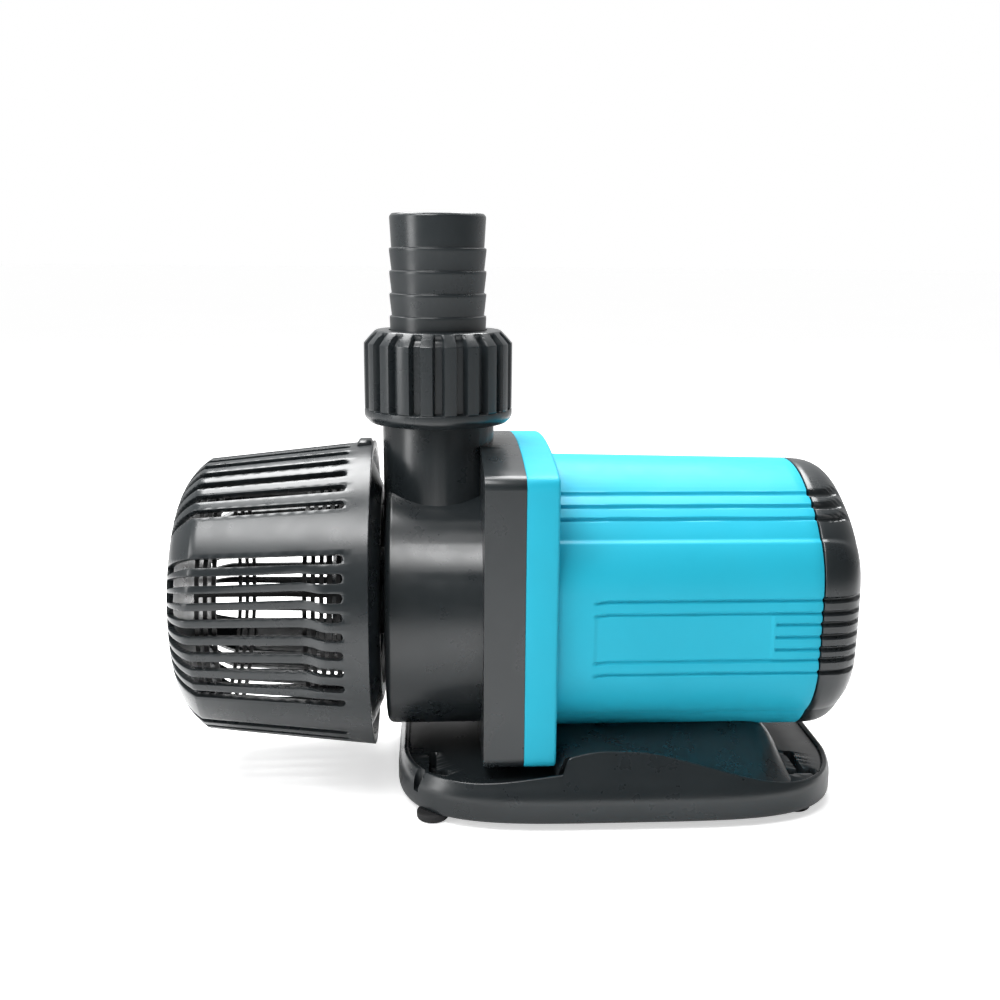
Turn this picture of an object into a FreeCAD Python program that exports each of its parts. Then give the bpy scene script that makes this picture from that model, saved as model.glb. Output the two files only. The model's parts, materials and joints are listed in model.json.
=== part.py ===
import FreeCAD, Part
import math
import os

# Centrifugal pond and aquarium pump: a strainer cage on the inlet neck, a volute with a
# threaded outlet, a union nut and hose tail, a wet rotor in a can, and a motor housing on
# a base with rubber feet. Millimetres. The pump axis runs along X, with the strainer at -X;
# the outlet points up, and the feet stand on z = 0.
# Everything is drawn from the outlet's axis (x = 0) and moved to the overall centre at the end.

V = FreeCAD.Vector
ALONG = V(1, 0, 0)
UP = V(0, 0, 1)

# ---- lengths along the pump axis ----
cage_length = 81.6
cage_gap = 5.3             # cage rim to the volute drum
drum_front = 21.8          # drum's front face to the outlet's axis
drum_back = 17.1           # outlet's axis to the flange
volute_flange = 15.9
motor_flange = 12.9
motor_length = 105.1
cap_length = 19.0

# ---- heights and widths ----
axis_z = 79.3              # pump axis: rotor, inlet and strainer
drum_z = 74.8              # middle of the volute drum, which hangs a little lower
flange_width = 122.0
flange_sides = 116.6       # height of the flange's straight sides
flange_crown = 5.7         # rise of its crowned top and bottom
flange_z = 81.6            # middle of the flange
flange_corner = 5.0
motor_width = 114.0
motor_top = 137.6
motor_bottom = 28.0
motor_draft = 1.6          # how much the housing narrows on each side by its rear seam
motor_wall = 3.2

# ---- strainer ----
cage_rim_r = 65.2
cage_corner_r = 57.7       # where the cone meets the rounded nose
cage_corner_x = 12.7       # nose depth
cage_face_r = 34.2         # flat front face
cage_nose = 3.3            # roundness of the nose between them
cage_wall = 2.6
slot_width = 3.8
slot_start = 9.6           # rim to the slots' round ends
land_r = cage_rim_r - 3.3   # straight seat inside the rim
slot_reach_r = 40.0        # how far the slots run in across the front face
top_slots = 12
top_pitch = 7.65           # degrees
side_slots = 9
side_pitch = 6.8
twist_travel = 12.0        # degrees of the cage's bayonet

# ---- volute, inlet and outlet ----
drum_r = 52.3
drum_wall = 3.5
chamber_r = 45.0
inlet_r = 19.0             # outside of the inlet neck
inlet_bore = 15.5
inlet_length = 23.0
riser_r = 23.3
riser_bore = 17.0
nut_r = 31.0
nut_bottom = 153.7
nut_height = 38.1
nut_top_r = 26.0
nut_ribs = 20
thread_pitch = 2.309
thread_major = 23.9
thread_minor = 22.42
thread_gap = 0.25          # radial clearance between the two threads
thread_turns = 6.0
tail_r = 20.0              # hose tail ridges
tail_root = 19.1
tail_bore = 16.2
tail_top = 238.6
tail_step = 9.12
tail_steps = 4

# ---- rotor and stator ----
shaft_r = 4.0
impeller_r = chamber_r - 7.0
vanes = 6
hub_r = 9.0
magnet_r = 18.5
magnet_length = 60.0
can_r = 19.5               # inside of the can
can_wall = 2.0
stator_r = 40.5
stator_length = 44.0
stator_teeth = 6

# ---- base ----
base_front = 17.5          # front end to the outlet's axis
base_back = 166.0          # outlet's axis to the rear end
base_width = 140.6
base_end_width = 92.0      # across the narrower ends
base_floor = 3.4           # rim above the surface it stands on
base_rim = 18.2            # top of the side wall at the front corners
base_rear_rim = 16.4       # and at the rear corners
base_crown = 30.0          # top of the wall at mid-length
base_wall = 3.0
foot_front = -3.0          # along X from the outlet's axis
foot_back = 148.5
foot_y = 55.0
foot_r = 5.6
foot_edge = 0.9            # bevel round the sole, and the step that seats on the rim
foot_bore = 2.3

# ---- clearances ----
fit = 0.05                 # running and push fits, radial
gap = 0.2                  # parts that only lie beside each other

# ---- stations along the pump axis ----
x_drum = -drum_front
x_rim = x_drum - cage_gap
x_face = x_rim - cage_length
x_flange = drum_back
x_joint = x_flange + volute_flange
x_body = x_joint + motor_flange
x_seam = x_body + motor_length
x_rear = x_seam + cap_length
x_centre = (x_face + x_rear) / 2


def box(x0, x1, y0, y1, z0, z1):
    return Part.makeBox(x1 - x0, y1 - y0, z1 - z0, V(x0, y0, z0))


def rod_x(r, x0, x1, y=0.0, z=axis_z):
    return Part.makeCylinder(r, x1 - x0, V(x0, y, z), ALONG)


def tube_x(r_out, r_in, x0, x1, y=0.0, z=axis_z):
    return rod_x(r_out, x0, x1, y, z).cut(rod_x(r_in, x0 - 1, x1 + 1, y, z))


def rod_z(r, z0, z1, x=0.0, y=0.0):
    return Part.makeCylinder(r, z1 - z0, V(x, y, z0), UP)


def tube_z(r_out, r_in, z0, z1, x=0.0, y=0.0):
    return rod_z(r_out, z0, z1, x, y).cut(rod_z(r_in, z0 - 1, z1 + 1, x, y))


def join(shapes):
    whole = shapes[0].fuse(list(shapes[1:]))
    return whole.removeSplitter()


def outline(points):
    """Closed wire of (point, rise): each edge runs to the next point, straight when rise is 0
    and otherwise an arc that stands `rise` to the left of its chord, seen against `face`."""
    edges = []
    for i, (start, rise, face) in enumerate(points):
        end = points[(i + 1) % len(points)][0]
        if rise == 0:
            edges.append(Part.makeLine(start, end))
        else:
            side = face.cross(end - start)
            side.normalize()
            middle = (start + end) * 0.5 + side * rise
            edges.append(Part.Arc(start, middle, end).toShape())
    return Part.Wire(edges)


def spun_x(points):
    """Solid turned about the pump axis from (x, r, rise) corners."""
    wire = outline([(V(x, 0, axis_z + r), rise, V(0, 1, 0)) for x, r, rise in points])
    return Part.Face(wire).revolve(V(0, 0, axis_z), ALONG, 360)


def spun_z(points):
    """Solid turned about the outlet's axis from (r, z) corners."""
    wire = outline([(V(r, 0, z), 0, UP) for r, z in points])
    return Part.Face(wire).revolve(V(0, 0, 0), UP, 360)


def turned_x(shape, degrees):
    """Copy turned about the pump axis; 0 keeps it at the top, 90 brings it to -Y."""
    copy = shape.copy()
    copy.rotate(V(0, 0, axis_z), ALONG, degrees)
    return copy


def wedge_x(r_out, r_in, x0, x1, middle, width):
    """Ring sector about the pump axis; angles from the top in degrees."""
    outer = Part.makeCylinder(r_out, x1 - x0, V(x0, 0, axis_z), ALONG, width)
    inner = Part.makeCylinder(r_in, x1 - x0 + 2, V(x0 - 1, 0, axis_z), ALONG, 360)
    sector = outer.cut(inner)
    probe = sector.Solids[0].CenterOfMass
    here = math.degrees(math.atan2(-probe.y, probe.z - axis_z))
    return turned_x(sector, middle - here)


def mirror_y(shape):
    return shape.mirror(V(0, 0, 0), V(0, 1, 0))


# ---------------------------------------------------------------- flanges and housing

def flange_plate(x0, x1, inset=0.0):
    """Square plate with a crowned top and bottom and rounded corners."""
    half = flange_width / 2 - inset
    side = flange_sides / 2 - inset
    low = flange_z - side
    high = flange_z + side
    wire = outline([(V(x0, -half, low), flange_crown, ALONG * -1),
                    (V(x0, half, low), 0, ALONG),
                    (V(x0, half, high), flange_crown, ALONG * -1),
                    (V(x0, -half, high), 0, ALONG)])
    plate = Part.Face(wire).extrude(V(x1 - x0, 0, 0))
    corners = [e for e in plate.Edges
               if len(e.Vertexes) == 2 and abs(e.tangentAt(e.FirstParameter).x) > 0.999]
    return plate.makeFillet(max(flange_corner - inset, 1.0), corners)


shoulder_in = 12.0         # crown's end, in from the side
shoulder_drop = 5.0        # and below the top
shoulder_bulge = 2.6
recess_in = 4.5            # grooved face, in from the side
recess_high = 17.5         # its upper and lower ends below the top
recess_low = 24.0
step_low = 25.2            # side panel's upper edge below the top
belly_high = 24.0          # side panel's lower end above the bottom
belly_in = 2.6
panel_in = 0.6             # side panel's upper edge, in from the side
panel_bulge = 1.2
corner_bulge = 7.0          # lower corners, outside the chord from sole to panel
sole_in = 25.0             # flat sole's edge, in from the side
sole_rise = 1.0


def motor_section(x, inset=0.0):
    """Outline across the motor housing at x: a low crown, a shoulder that ends in a recessed
    band, bulged side panels and a rounded sole."""
    along = min(max((x - x_body) / motor_length, 0.0), 1.0)
    draft = motor_draft * along
    half = motor_width / 2 - inset - draft
    top = motor_top - inset - draft
    low = motor_bottom + inset
    face = ALONG * -1
    right = [(V(x, sole_in - half, low + sole_rise), -sole_rise, face),
             (V(x, half - sole_in, low + sole_rise), corner_bulge, face),
             (V(x, half - belly_in, low + belly_high), panel_bulge, face),
             (V(x, half - panel_in, top - step_low), 0, face),
             (V(x, half - recess_in, top - recess_low), 0, face),
             (V(x, half - recess_in, top - recess_high), shoulder_bulge, face),
             (V(x, half - shoulder_in, top - shoulder_drop), shoulder_drop, face)]
    left = [(V(x, shoulder_in - half, top - shoulder_drop), shoulder_bulge, face),
            (V(x, recess_in - half, top - recess_high), 0, face),
            (V(x, recess_in - half, top - recess_low), 0, face),
            (V(x, panel_in - half, top - step_low), panel_bulge, face),
            (V(x, belly_in - half, low + belly_high), corner_bulge, face)]
    sole = [(right[0][0], 0, face)]
    return outline(sole + right[1:] + left)


def motor_loft(stations, inset=0.0):
    return Part.makeLoft([motor_section(x, inset + more) for x, more in stations], True, True)


def housing_shell(inset=0.0):
    return motor_loft([(x_body - motor_flange / 2, 0.0), (x_body, 0.0), (x_seam, 0.0)], inset)


groove_r = 1.1
upper_grooves = [6.0, 9.6, 14.6]             # below the top, on the shoulder
label_z = 75.0                               # middle of the grooves on the side panel
long_grooves = [15.1, 9.8, -9.8, -15.1]      # above that
short_grooves = [5.2, 0.0, -5.2]
short_start = 88.0                           # from the flange, where the label area ends
long_start = 17.0


def side_reach(x, z):
    """How far the housing's skin stands out at height z of station x."""
    section = Part.Face(motor_section(x))
    line = Part.makeLine(V(x, 0, z), V(x, -motor_width, z))
    return -section.common(line).BoundBox.YMin


def groove_run(height, x0, x1):
    """Round groove along the housing's side, both hands."""
    z = height
    start = V(x0, -side_reach(x_body, z) - 0.1, z)
    end = V(x1, -side_reach(x_seam, z) - 0.1, z)
    run = end - start
    tool = Part.makeCylinder(groove_r, run.Length, start, run)
    return [tool, mirror_y(tool)]


def housing_grooves(x_end):
    tools = []
    for drop in upper_grooves:
        tools += groove_run(motor_top - drop, x_body + 2, x_end)
    for rise in long_grooves:
        tools += groove_run(label_z + rise, x_body + long_start, x_end)
    for rise in short_grooves:
        tools += groove_run(label_z + rise, x_body + short_start, x_end)
    return tools


screw_y = 54.0             # flange screws
screw_z = 51.0             # above and below the flange's middle
screw_r = 2.0
screw_head_r = 3.5
screw_head = 4.0
screw_length = 22.0
gasket_t = 1.2
gasket_in = 0.9
gasket_width = 1.4
cap_screw_y = 36.0
cap_screw_up = 26.0        # above the pump axis
cap_screw_down = 30.0      # below it
boss_rib = 4.0             # rib that ties each boss to the wall
cap_screw_length = 14.0
boss_r = 4.6
web_bore = 46.0            # opening in the motor flange
web_t = 5.0
sole_screw_x = 78.0        # behind the motor flange
sole_screw_y = 16.0
flange_screw_y = 36.0
base_screw_length = 14.0
board_z = 123.6
board_t = 1.6
board_front = 18.0         # behind the motor flange
board_length = 78.0
board_width = 70.0
post_r = 3.0


def corner_points():
    return [(sy * screw_y, flange_z + sz * screw_z) for sy in (-1, 1) for sz in (-1, 1)]


def cap_points():
    rows = (axis_z + cap_screw_up, axis_z - cap_screw_down)
    return [(sy * cap_screw_y, z) for sy in (-1, 1) for z in rows]


def base_points():
    """Screws that hold the pump to its base: x, y, seat height."""
    front = x_joint + motor_flange / 2
    rear = x_body + sole_screw_x
    seat_front = flange_z - flange_sides / 2 - flange_crown
    return ([(front, sy * flange_screw_y, seat_front) for sy in (-1, 1)]
            + [(rear, sy * sole_screw_y, motor_bottom) for sy in (-1, 1)])


def cap_bosses(x0, x1):
    """Screw bosses at the housing's rear corners, each tied to the side wall by a rib."""
    bosses = []
    for y, z in cap_points():
        edge = math.copysign(motor_width / 2, y)
        rib = box(x0, x1, min(y, edge), max(y, edge), z - boss_rib / 2, z + boss_rib / 2)
        bosses.append(rod_x(boss_r, x0, x1, y, z).fuse(rib))
    return bosses


def board_points():
    x0 = x_body + board_front + 5
    x1 = x0 + board_length - 10
    y = board_width / 2 - 5
    return [(x, sy * y) for x in (x0, x1) for sy in (-1, 1)]


def motor_housing():
    cavity = motor_loft([(x_joint + web_t, 0.0), (x_body, 0.0), (x_seam, 0.0), (x_seam + 1, 0.0)],
                        motor_wall)
    body = join([flange_plate(x_joint, x_body), housing_shell()])
    body = body.cut([cavity, rod_x(web_bore, x_joint - 1, x_body)])
    bosses = cap_bosses(x_seam - cap_screw_length - 6, x_seam)
    for x, y, seat in base_points():
        if seat == motor_bottom:
            bosses.append(rod_z(boss_r, motor_bottom + 0.5, motor_bottom + base_screw_length, x, y))
    for x, y in board_points():
        bosses.append(rod_z(post_r, board_z + board_t, motor_top, x, y))
    skin = housing_shell(0.4)
    body = join([body] + [boss.common(skin) for boss in bosses])
    holes = [cap_gasket()]
    for y, z in corner_points():
        holes.append(rod_x(screw_r, x_joint - 1, x_body + 1, y, z))
        holes.append(rod_x(screw_head_r + gap, x_body - screw_head, x_body + 20, y, z))
    holes += [rod_x(screw_r - 0.5, x_seam - cap_screw_length, x_seam + 1, y, z)
              for y, z in cap_points()]
    for x, y, seat in base_points():
        depth = base_screw_length - base_seat_t
        holes.append(rod_z(screw_r, seat - 5, seat + depth, x, y))
    return body.cut(holes + housing_grooves(x_seam + 1))


def cap_gasket():
    outer = motor_loft([(x_seam - gasket_t, 0.0), (x_seam, 0.0)], gasket_in)
    inner = motor_loft([(x_seam - gasket_t - 1, 0.0), (x_seam + 1, 0.0)], gasket_in + gasket_width)
    return outer.cut(inner)


cap_wall = 3.4
cap_round = [(0.0, 0.0), (8.0, 0.6), (12.0, 1.9), (15.0, 3.8), (17.5, 6.6), (19.0, 10.0)]
gland_y = 0.0
gland_z = 46.0
gland_r = 6.0
gland_pocket_r = 11.6
gland_pocket = 8.0
gland_hex = 18.0           # across flats
cord_bore = 3.6


def cap_loft(inset, x_first, x_last):
    k = (x_last - x_seam) / cap_round[-1][0]
    return motor_loft([(x_first, 0.0)] + [(x_seam + x * k, more) for x, more in cap_round[1:]], inset)


def rear_cap():
    cap = cap_loft(0.0, x_seam, x_rear)
    hollow = cap_loft(cap_wall, x_seam - 0.01, x_rear - cap_wall)
    pocket = rod_x(gland_pocket_r, x_rear - gland_pocket, x_rear + 1, gland_y, gland_z)
    posts = cap_bosses(x_seam, x_rear - cap_wall)
    posts.append(rod_x(gland_pocket_r + cap_wall, x_rear - gland_pocket - cap_wall,
                       x_rear - cap_wall, gland_y, gland_z))
    cap = join([cap.cut(hollow)] + [post.common(cap) for post in posts])
    tools = [pocket, rod_x(gland_r, x_seam, x_rear, gland_y, gland_z)]
    for y, z in cap_points():
        tools.append(rod_x(screw_r, x_seam - 1, x_rear + 1, y, z))
        tools.append(rod_x(screw_head_r + gap, x_rear - screw_head - 1.5, x_rear + 1, y, z))
    for drop in upper_grooves:
        tools += groove_run(motor_top - drop, x_seam - 1, x_rear + 1)
    for rise in long_grooves + short_grooves:
        tools += groove_run(label_z + rise, x_seam - 1, x_rear + 1)
    return cap.cut(tools)


def cable_gland():
    """Threaded barrel through the cap with a hexagon in the rear pocket and a nut inside."""
    x_seat = x_rear - gland_pocket
    corner = gland_hex / math.sqrt(3)
    points = [V(x_seat, gland_y + corner * math.cos(math.radians(60 * i)),
                gland_z + corner * math.sin(math.radians(60 * i))) for i in range(7)]
    hexagon = Part.Face(Part.makePolygon(points)).extrude(V(gland_pocket - 1.0, 0, 0))
    barrel = rod_x(gland_r, x_seat - cap_wall - 4, x_seat + 1, gland_y, gland_z)
    bore = rod_x(cord_bore, x_seam - 10, x_rear + 1, gland_y, gland_z)
    return join([hexagon, barrel]).cut(bore)


def gland_nut():
    x_in = x_rear - gland_pocket - cap_wall
    corner = gland_hex / math.sqrt(3)
    points = [V(x_in, gland_y + corner * math.cos(math.radians(60 * i)),
                gland_z + corner * math.sin(math.radians(60 * i))) for i in range(7)]
    nut = Part.Face(Part.makePolygon(points)).extrude(V(-3.5, 0, 0))
    return nut.cut(rod_x(gland_r, x_in - 5, x_in + 1, gland_y, gland_z))


# ---------------------------------------------------------------- rotor can and its seal

can_front = 3.1            # can's front wall, ahead of the flange's front face
can_plate = 4.0            # plate clamped between the flanges
can_plate_in = 11.0        # inside the flange screws
spigot_wall = 5.0
can_back = 107.0
seat_r = 6.0
seat_length = 10.0
ring_r = 1.3               # chamber seal's section
ring_behind = 9.0          # from the flange's front face


def rotor_can():
    x0 = x_flange - can_front
    plate = flange_plate(x_joint - can_plate, x_joint, can_plate_in)
    spigot_r = chamber_r - fit
    tube = can_r + can_wall
    cup = spun_x([(x0, spigot_r, 0), (x_joint - 0.5, spigot_r, 0),
                  (x_joint - 0.5, spigot_r - spigot_wall, 0),
                  (x0 + 3.0, spigot_r - spigot_wall, 0), (x0 + 3.0, tube, 0),
                  (can_back, tube, 0), (can_back, 0, 0), (can_back - 3.0, 0, 0),
                  (can_back - 3.0, can_r, 0), (x0, can_r, 0)])
    plate = plate.cut(rod_x(spigot_r - spigot_wall, x_joint - can_plate - 1, x_joint + 1))
    socket = tube_x(seat_r + 3.0, seat_r, can_back - 3.0 - seat_length, can_back - 2.9)
    groove = tube_x(chamber_r + 1, chamber_r - 2 * ring_r, x_flange + ring_behind - 1.6,
                    x_flange + ring_behind + 1.6)
    return join([cup, plate, socket]).cut(groove)


def chamber_seal():
    return Part.makeTorus(chamber_r - ring_r, ring_r, V(x_flange + ring_behind, 0, axis_z), ALONG)


# ---------------------------------------------------------------- volute

seat_front_x = x_drum - 4.0
spider_length = 9.0
spider_hub = 9.5
riser_top = nut_bottom + 24.3
thread_start = nut_bottom + 4.0          # top of the plain riser
thread_first = thread_start + 3.0         # middle of the first ridge
seal_major = 20.2
seal_r = 1.3
seal_proud = 0.08
seal_low = riser_top + seal_proud - 2 * seal_r


def ridge(profile, z0, turns):
    """Helical thread ridge from (r, z) corners, right-handed about the outlet's axis."""
    path = Part.Wire(Part.makeHelix(thread_pitch, thread_pitch * turns, profile[0][0]))
    path.translate(V(0, 0, z0))
    wire = Part.makePolygon([V(r, 0, z0 + z) for r, z in profile + profile[:1]])
    return path.makePipeShell([wire], True, True)


def male_thread():
    root = thread_minor - 0.3
    profile = [(root, -0.96), (thread_major, -0.30), (thread_major, 0.30), (root, 0.96)]
    return ridge(profile, thread_first, thread_turns)


def volute_housing():
    drum = rod_x(drum_r, x_drum, x_flange + 1, z=drum_z)
    soft = [e for e in drum.Edges if abs(e.CenterOfMass.x - x_drum) < 0.01]
    drum = drum.makeFillet(3.0, soft)
    neck = rod_x(inlet_r, x_drum - inlet_length, x_drum + 5)
    riser = rod_z(riser_r, axis_z + 20, thread_start)
    core = rod_z(thread_minor, thread_start - 1, riser_top)
    body = join([drum, flange_plate(x_flange, x_joint), neck, riser, core])
    chamber = rod_x(chamber_r, x_drum + drum_wall, x_joint + 1)
    plate_seat = flange_plate(x_joint - can_plate, x_joint + 1, can_plate_in - fit)
    outlet = rod_z(riser_bore, axis_z + 10, riser_top + 1)
    inlet = rod_x(inlet_bore, x_drum - inlet_length - 1, x_drum + 10)
    seal_seat = tube_z(seal_major + seal_r + fit, seal_major - seal_r - fit, seal_low,
                       riser_top + 1)
    body = body.cut([chamber, plate_seat, outlet, inlet, seal_seat])
    spokes = [turned_x(box(seat_front_x, seat_front_x + spider_length - 3, -1.3, 1.3,
                           axis_z + seat_r + 1, axis_z + inlet_bore + 1), 120 * i)
              for i in range(3)]
    hub = tube_x(spider_hub, seat_r, seat_front_x, seat_front_x + spider_length)
    holes = []
    for y, z in corner_points():
        holes.append(rod_x(screw_r, x_joint - screw_length + motor_flange - screw_head,
                           x_joint + 1, y, z))
    body = join([body, hub] + spokes)
    return body.cut(holes).fuse(male_thread())


# ---------------------------------------------------------------- union nut and hose tail

lip_under = nut_bottom + nut_height - 7.9
collar_bottom = riser_top + 0.1


def union_nut():
    top = nut_bottom + nut_height
    bore = thread_major + thread_gap
    ring_top = nut_bottom + 5.6
    chamfer_z = top - 5.2
    groove_r_in = nut_r - 2.6
    body = spun_z([(bore, nut_bottom), (nut_r - 2.2, nut_bottom), (nut_r, nut_bottom + 2.2),
                   (nut_r, ring_top), (groove_r_in, ring_top), (groove_r_in, chamfer_z),
                   (nut_top_r, top), (tail_r + 0.5, top), (tail_r + 0.5, lip_under),
                   (bore, lip_under)])
    rib = box(-nut_r - 1, nut_r + 1, -2.4, 2.4, ring_top - 0.2, chamfer_z + 3.0)
    limit = spun_z([(bore + 1, ring_top - 0.2), (nut_r, ring_top - 0.2), (nut_r, chamfer_z - 0.6),
                    (nut_top_r + 1.0, top - 0.6), (bore + 1, top - 0.6)])
    ribs = []
    for i in range(nut_ribs // 2):
        one = rib.copy()
        one.rotate(V(0, 0, 0), UP, 360.0 * i / nut_ribs)
        ribs.append(one)
    ribs = ribs[0].fuse(ribs[1:]).common(limit)
    root = bore + 0.3
    profile = [(root, -0.89), (thread_minor + thread_gap, -0.25),
               (thread_minor + thread_gap, 0.25), (root, 0.89)]
    profile = profile[1:] + profile[:1]
    thread = ridge(profile, thread_first - thread_pitch / 2, thread_turns - 0.5)
    return join([body, ribs]).fuse(thread)


def hose_tail():
    """Collar under the nut's lip, a plain shank and stepped hose ridges with a bevelled mouth."""
    points = [(tail_bore, collar_bottom), (thread_major - 0.3, collar_bottom),
              (thread_major - 0.3, lip_under - 0.1), (tail_root + 0.4, lip_under - 0.1)]
    first = tail_top - 13.9 - (tail_steps - 1) * tail_step
    for i in range(tail_steps):
        z = first + i * tail_step
        points += [(tail_r, z - 1.0), (tail_r, z), (tail_root, z + 0.4)]
    points += [(tail_r - 0.2, tail_top - 1.2), (tail_r - 1.2, tail_top),
               (tail_bore + 0.8, tail_top), (tail_bore, tail_top - 0.8)]
    return spun_z(points)


def outlet_seal():
    return Part.makeTorus(seal_major, seal_r, V(0, 0, seal_low + seal_r), UP)


# ---------------------------------------------------------------- strainer

plate_front = 6.0          # back plate's front face behind the rim's plane
plate_t = 3.0
land = 8.0                 # depth of the seat inside the rim
lug_width = 9.0            # degrees
lug_height = 1.4
collar_r = 23.0
collar_length = 12.0
skirt_r = 46.0             # rear end of the cone that closes the gap to the drum
skirt_wall = 2.2
skirt_gap = 2.0


def cage_profile(inset):
    """Corners (x, r, rise) of the cage's outside, or of its inside when inset by the wall."""
    nose_x = x_face + cage_corner_x
    return [(x_face + inset, 0, 0), (x_face + inset, cage_face_r, -cage_nose),
            (nose_x, cage_corner_r - inset, 0)]


def strainer_cage():
    outer = spun_x(cage_profile(0.0) + [(x_rim, cage_rim_r, 0), (x_rim, 0, 0)])
    inner = spun_x(cage_profile(cage_wall) + [(x_rim - land, land_r, 0), (x_rim + 1, land_r, 0),
                                              (x_rim + 1, 0, 0)])
    cage = outer.cut(inner)
    x_end = x_rim - slot_start - slot_width / 2
    bar = box(x_face - 1, x_end, -slot_width / 2, slot_width / 2,
              axis_z + slot_reach_r, axis_z + cage_rim_r + 5)
    end = Part.makeCylinder(slot_width / 2, cage_rim_r, V(x_end, 0, axis_z + slot_reach_r), UP)
    slot = bar.fuse(end)
    angles = []
    for i in range(top_slots):
        lean = (i - (top_slots - 1) / 2) * top_pitch
        angles += [lean, lean + 180]
    for i in range(side_slots):
        lift = (i - (side_slots - 1) / 2) * side_pitch
        angles += [90 - lift, lift - 90]
    tools = [turned_x(slot, a) for a in angles]
    tools += bayonet_tracks()
    cage = cage.cut(tools)
    tab = wedge_x(cage_rim_r + 1.6, cage_rim_r - 1.0, x_rim - 7.0, x_rim - 0.8, 0, 9)
    return join([cage, tab])


def bayonet_tracks():
    """Inside the rim: an entry for each lug, then a turn that holds it."""
    deep = land_r + lug_height + 0.3
    tracks = []
    for i in range(3):
        middle = 60 + 120 * i
        x0 = x_rim - plate_front - 0.3
        x1 = x_rim - plate_front + plate_t + 0.3
        entry = middle + twist_travel
        tracks.append(wedge_x(deep, land_r - 1, x0, x_rim + 1, entry, lug_width + 2))
        tracks.append(wedge_x(deep, land_r - 1, x0, x1, middle + twist_travel / 2,
                              lug_width + twist_travel + 2))
    return tracks


def strainer_plate():
    x0 = x_rim - plate_front
    disc = rod_x(land_r - fit, x0, x0 + plate_t)
    collar = rod_x(collar_r, x0 - collar_length + plate_t, x0 + plate_t)
    lugs = [wedge_x(land_r + lug_height, land_r - 2, x0, x0 + plate_t, 60 + 120 * i, lug_width)
            for i in range(3)]
    vents = []
    for i in range(18):
        slot = box(x0 - 1, x0 + plate_t + 1, -1.6, 1.6, axis_z + collar_r + 7,
                   axis_z + screen_r - 8)
        vents.append(turned_x(slot, 20 * i + 10))
    behind = x0 + plate_t
    skirt = spun_x([(behind - 0.5, land_r - 1.0, 0), (behind, land_r - 1.0, 0),
                    (x_drum - skirt_gap, skirt_r, 0), (x_drum - skirt_gap, skirt_r - 6.0, 0),
                    (x_drum - skirt_gap - skirt_wall, skirt_r - 6.0, 0),
                    (x_drum - skirt_gap - skirt_wall, skirt_r - 1.0, 0),
                    (behind, land_r - 4.0, 0), (behind - 0.5, land_r - 4.0, 0)])
    plate = join([disc, collar, skirt] + lugs)
    return plate.cut([rod_x(inlet_r + fit, x0 - 30, x0 + 30)] + vents)


screen_r = 52.0
hoop_t = 1.6
hoop_pitch = 3.3
rear_hoops = 6
front_hoops = 3
screen_ribs = 12


def inner_screen():
    """Fine hoops near both ends of the cage, on ribs that stand on the back plate."""
    x_plate = x_rim - plate_front
    x_front = x_face + cage_corner_x + 2.0
    parts = []
    middles = [x_plate - 3.0 - i * hoop_pitch for i in range(rear_hoops)]
    middles += [x_front + i * hoop_pitch for i in range(front_hoops)]
    for x in middles:
        parts.append(tube_x(screen_r, screen_r - hoop_t, x - hoop_t / 2, x + hoop_t / 2))
    for i in range(screen_ribs):
        rib = box(x_front - hoop_t / 2, x_plate, -0.9, 0.9,
                  axis_z + screen_r - 2.6, axis_z + screen_r - 0.4)
        parts.append(turned_x(rib, 360.0 * i / screen_ribs + 15))
    return join(parts)


# ---------------------------------------------------------------- rotor

magnet_front = x_flange + 5.0
hub_back = magnet_front + magnet_length + 8.0
bush_r = 7.0
bush_length = 14.0
hub_front = x_drum + drum_wall + 5.3
vane_front = x_drum + drum_wall + 3.3
disc_back = x_flange - can_front - 3.4
disc_t = 2.5


def impeller():
    """Open wheel of curved vanes on a disc, with the hub tube that carries the magnet."""
    disc = rod_x(impeller_r, disc_back - disc_t, disc_back)
    hub = rod_x(hub_r, hub_front, hub_back)
    vane = tube_x(30.0, 27.8, vane_front, disc_back - disc_t + 0.5, 21.0, axis_z + 19.0)
    keep = tube_x(impeller_r - 0.8, hub_r - 1.0, vane_front - 1, disc_back)
    sector = box(vane_front - 1, disc_back, -impeller_r, 4.0, axis_z, axis_z + impeller_r)
    vane = vane.common(keep).common(sector)
    blades = [turned_x(vane, 360.0 * i / vanes) for i in range(vanes)]
    wheel = join([disc, hub] + blades)
    bores = [rod_x(shaft_r + 1.0, hub_front - 1, hub_back + 1),
             rod_x(bush_r, hub_front - 1, hub_front + bush_length),
             rod_x(bush_r, hub_back - bush_length, hub_back + 1)]
    return wheel.cut(bores)


def bush(x0):
    return tube_x(bush_r, shaft_r + fit, x0, x0 + bush_length)


def ceramic_shaft():
    return rod_x(shaft_r, seat_front_x + 1.0, can_back - 4.0)


def shaft_seat(x0, x1, blind):
    """Rubber cup that holds one end of the fixed shaft."""
    cup = rod_x(seat_r, x0, x1)
    if blind:
        return cup.cut(rod_x(shaft_r, x0 - 1, x1 - 1.0))
    return cup.cut(rod_x(shaft_r, x0 + 1.0, x1 + 1))


def thrust_washer(x0, x1):
    return tube_x(seat_r + 1.5, shaft_r, x0, x1)


# ---------------------------------------------------------------- stator

coil_in = 25.5
coil_out = 32.0
coil_width = 16.0
tooth_width = 8.0
bobbin_t = 0.8
yoke_in = 33.0
stator_x = x_body - 4.0


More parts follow.
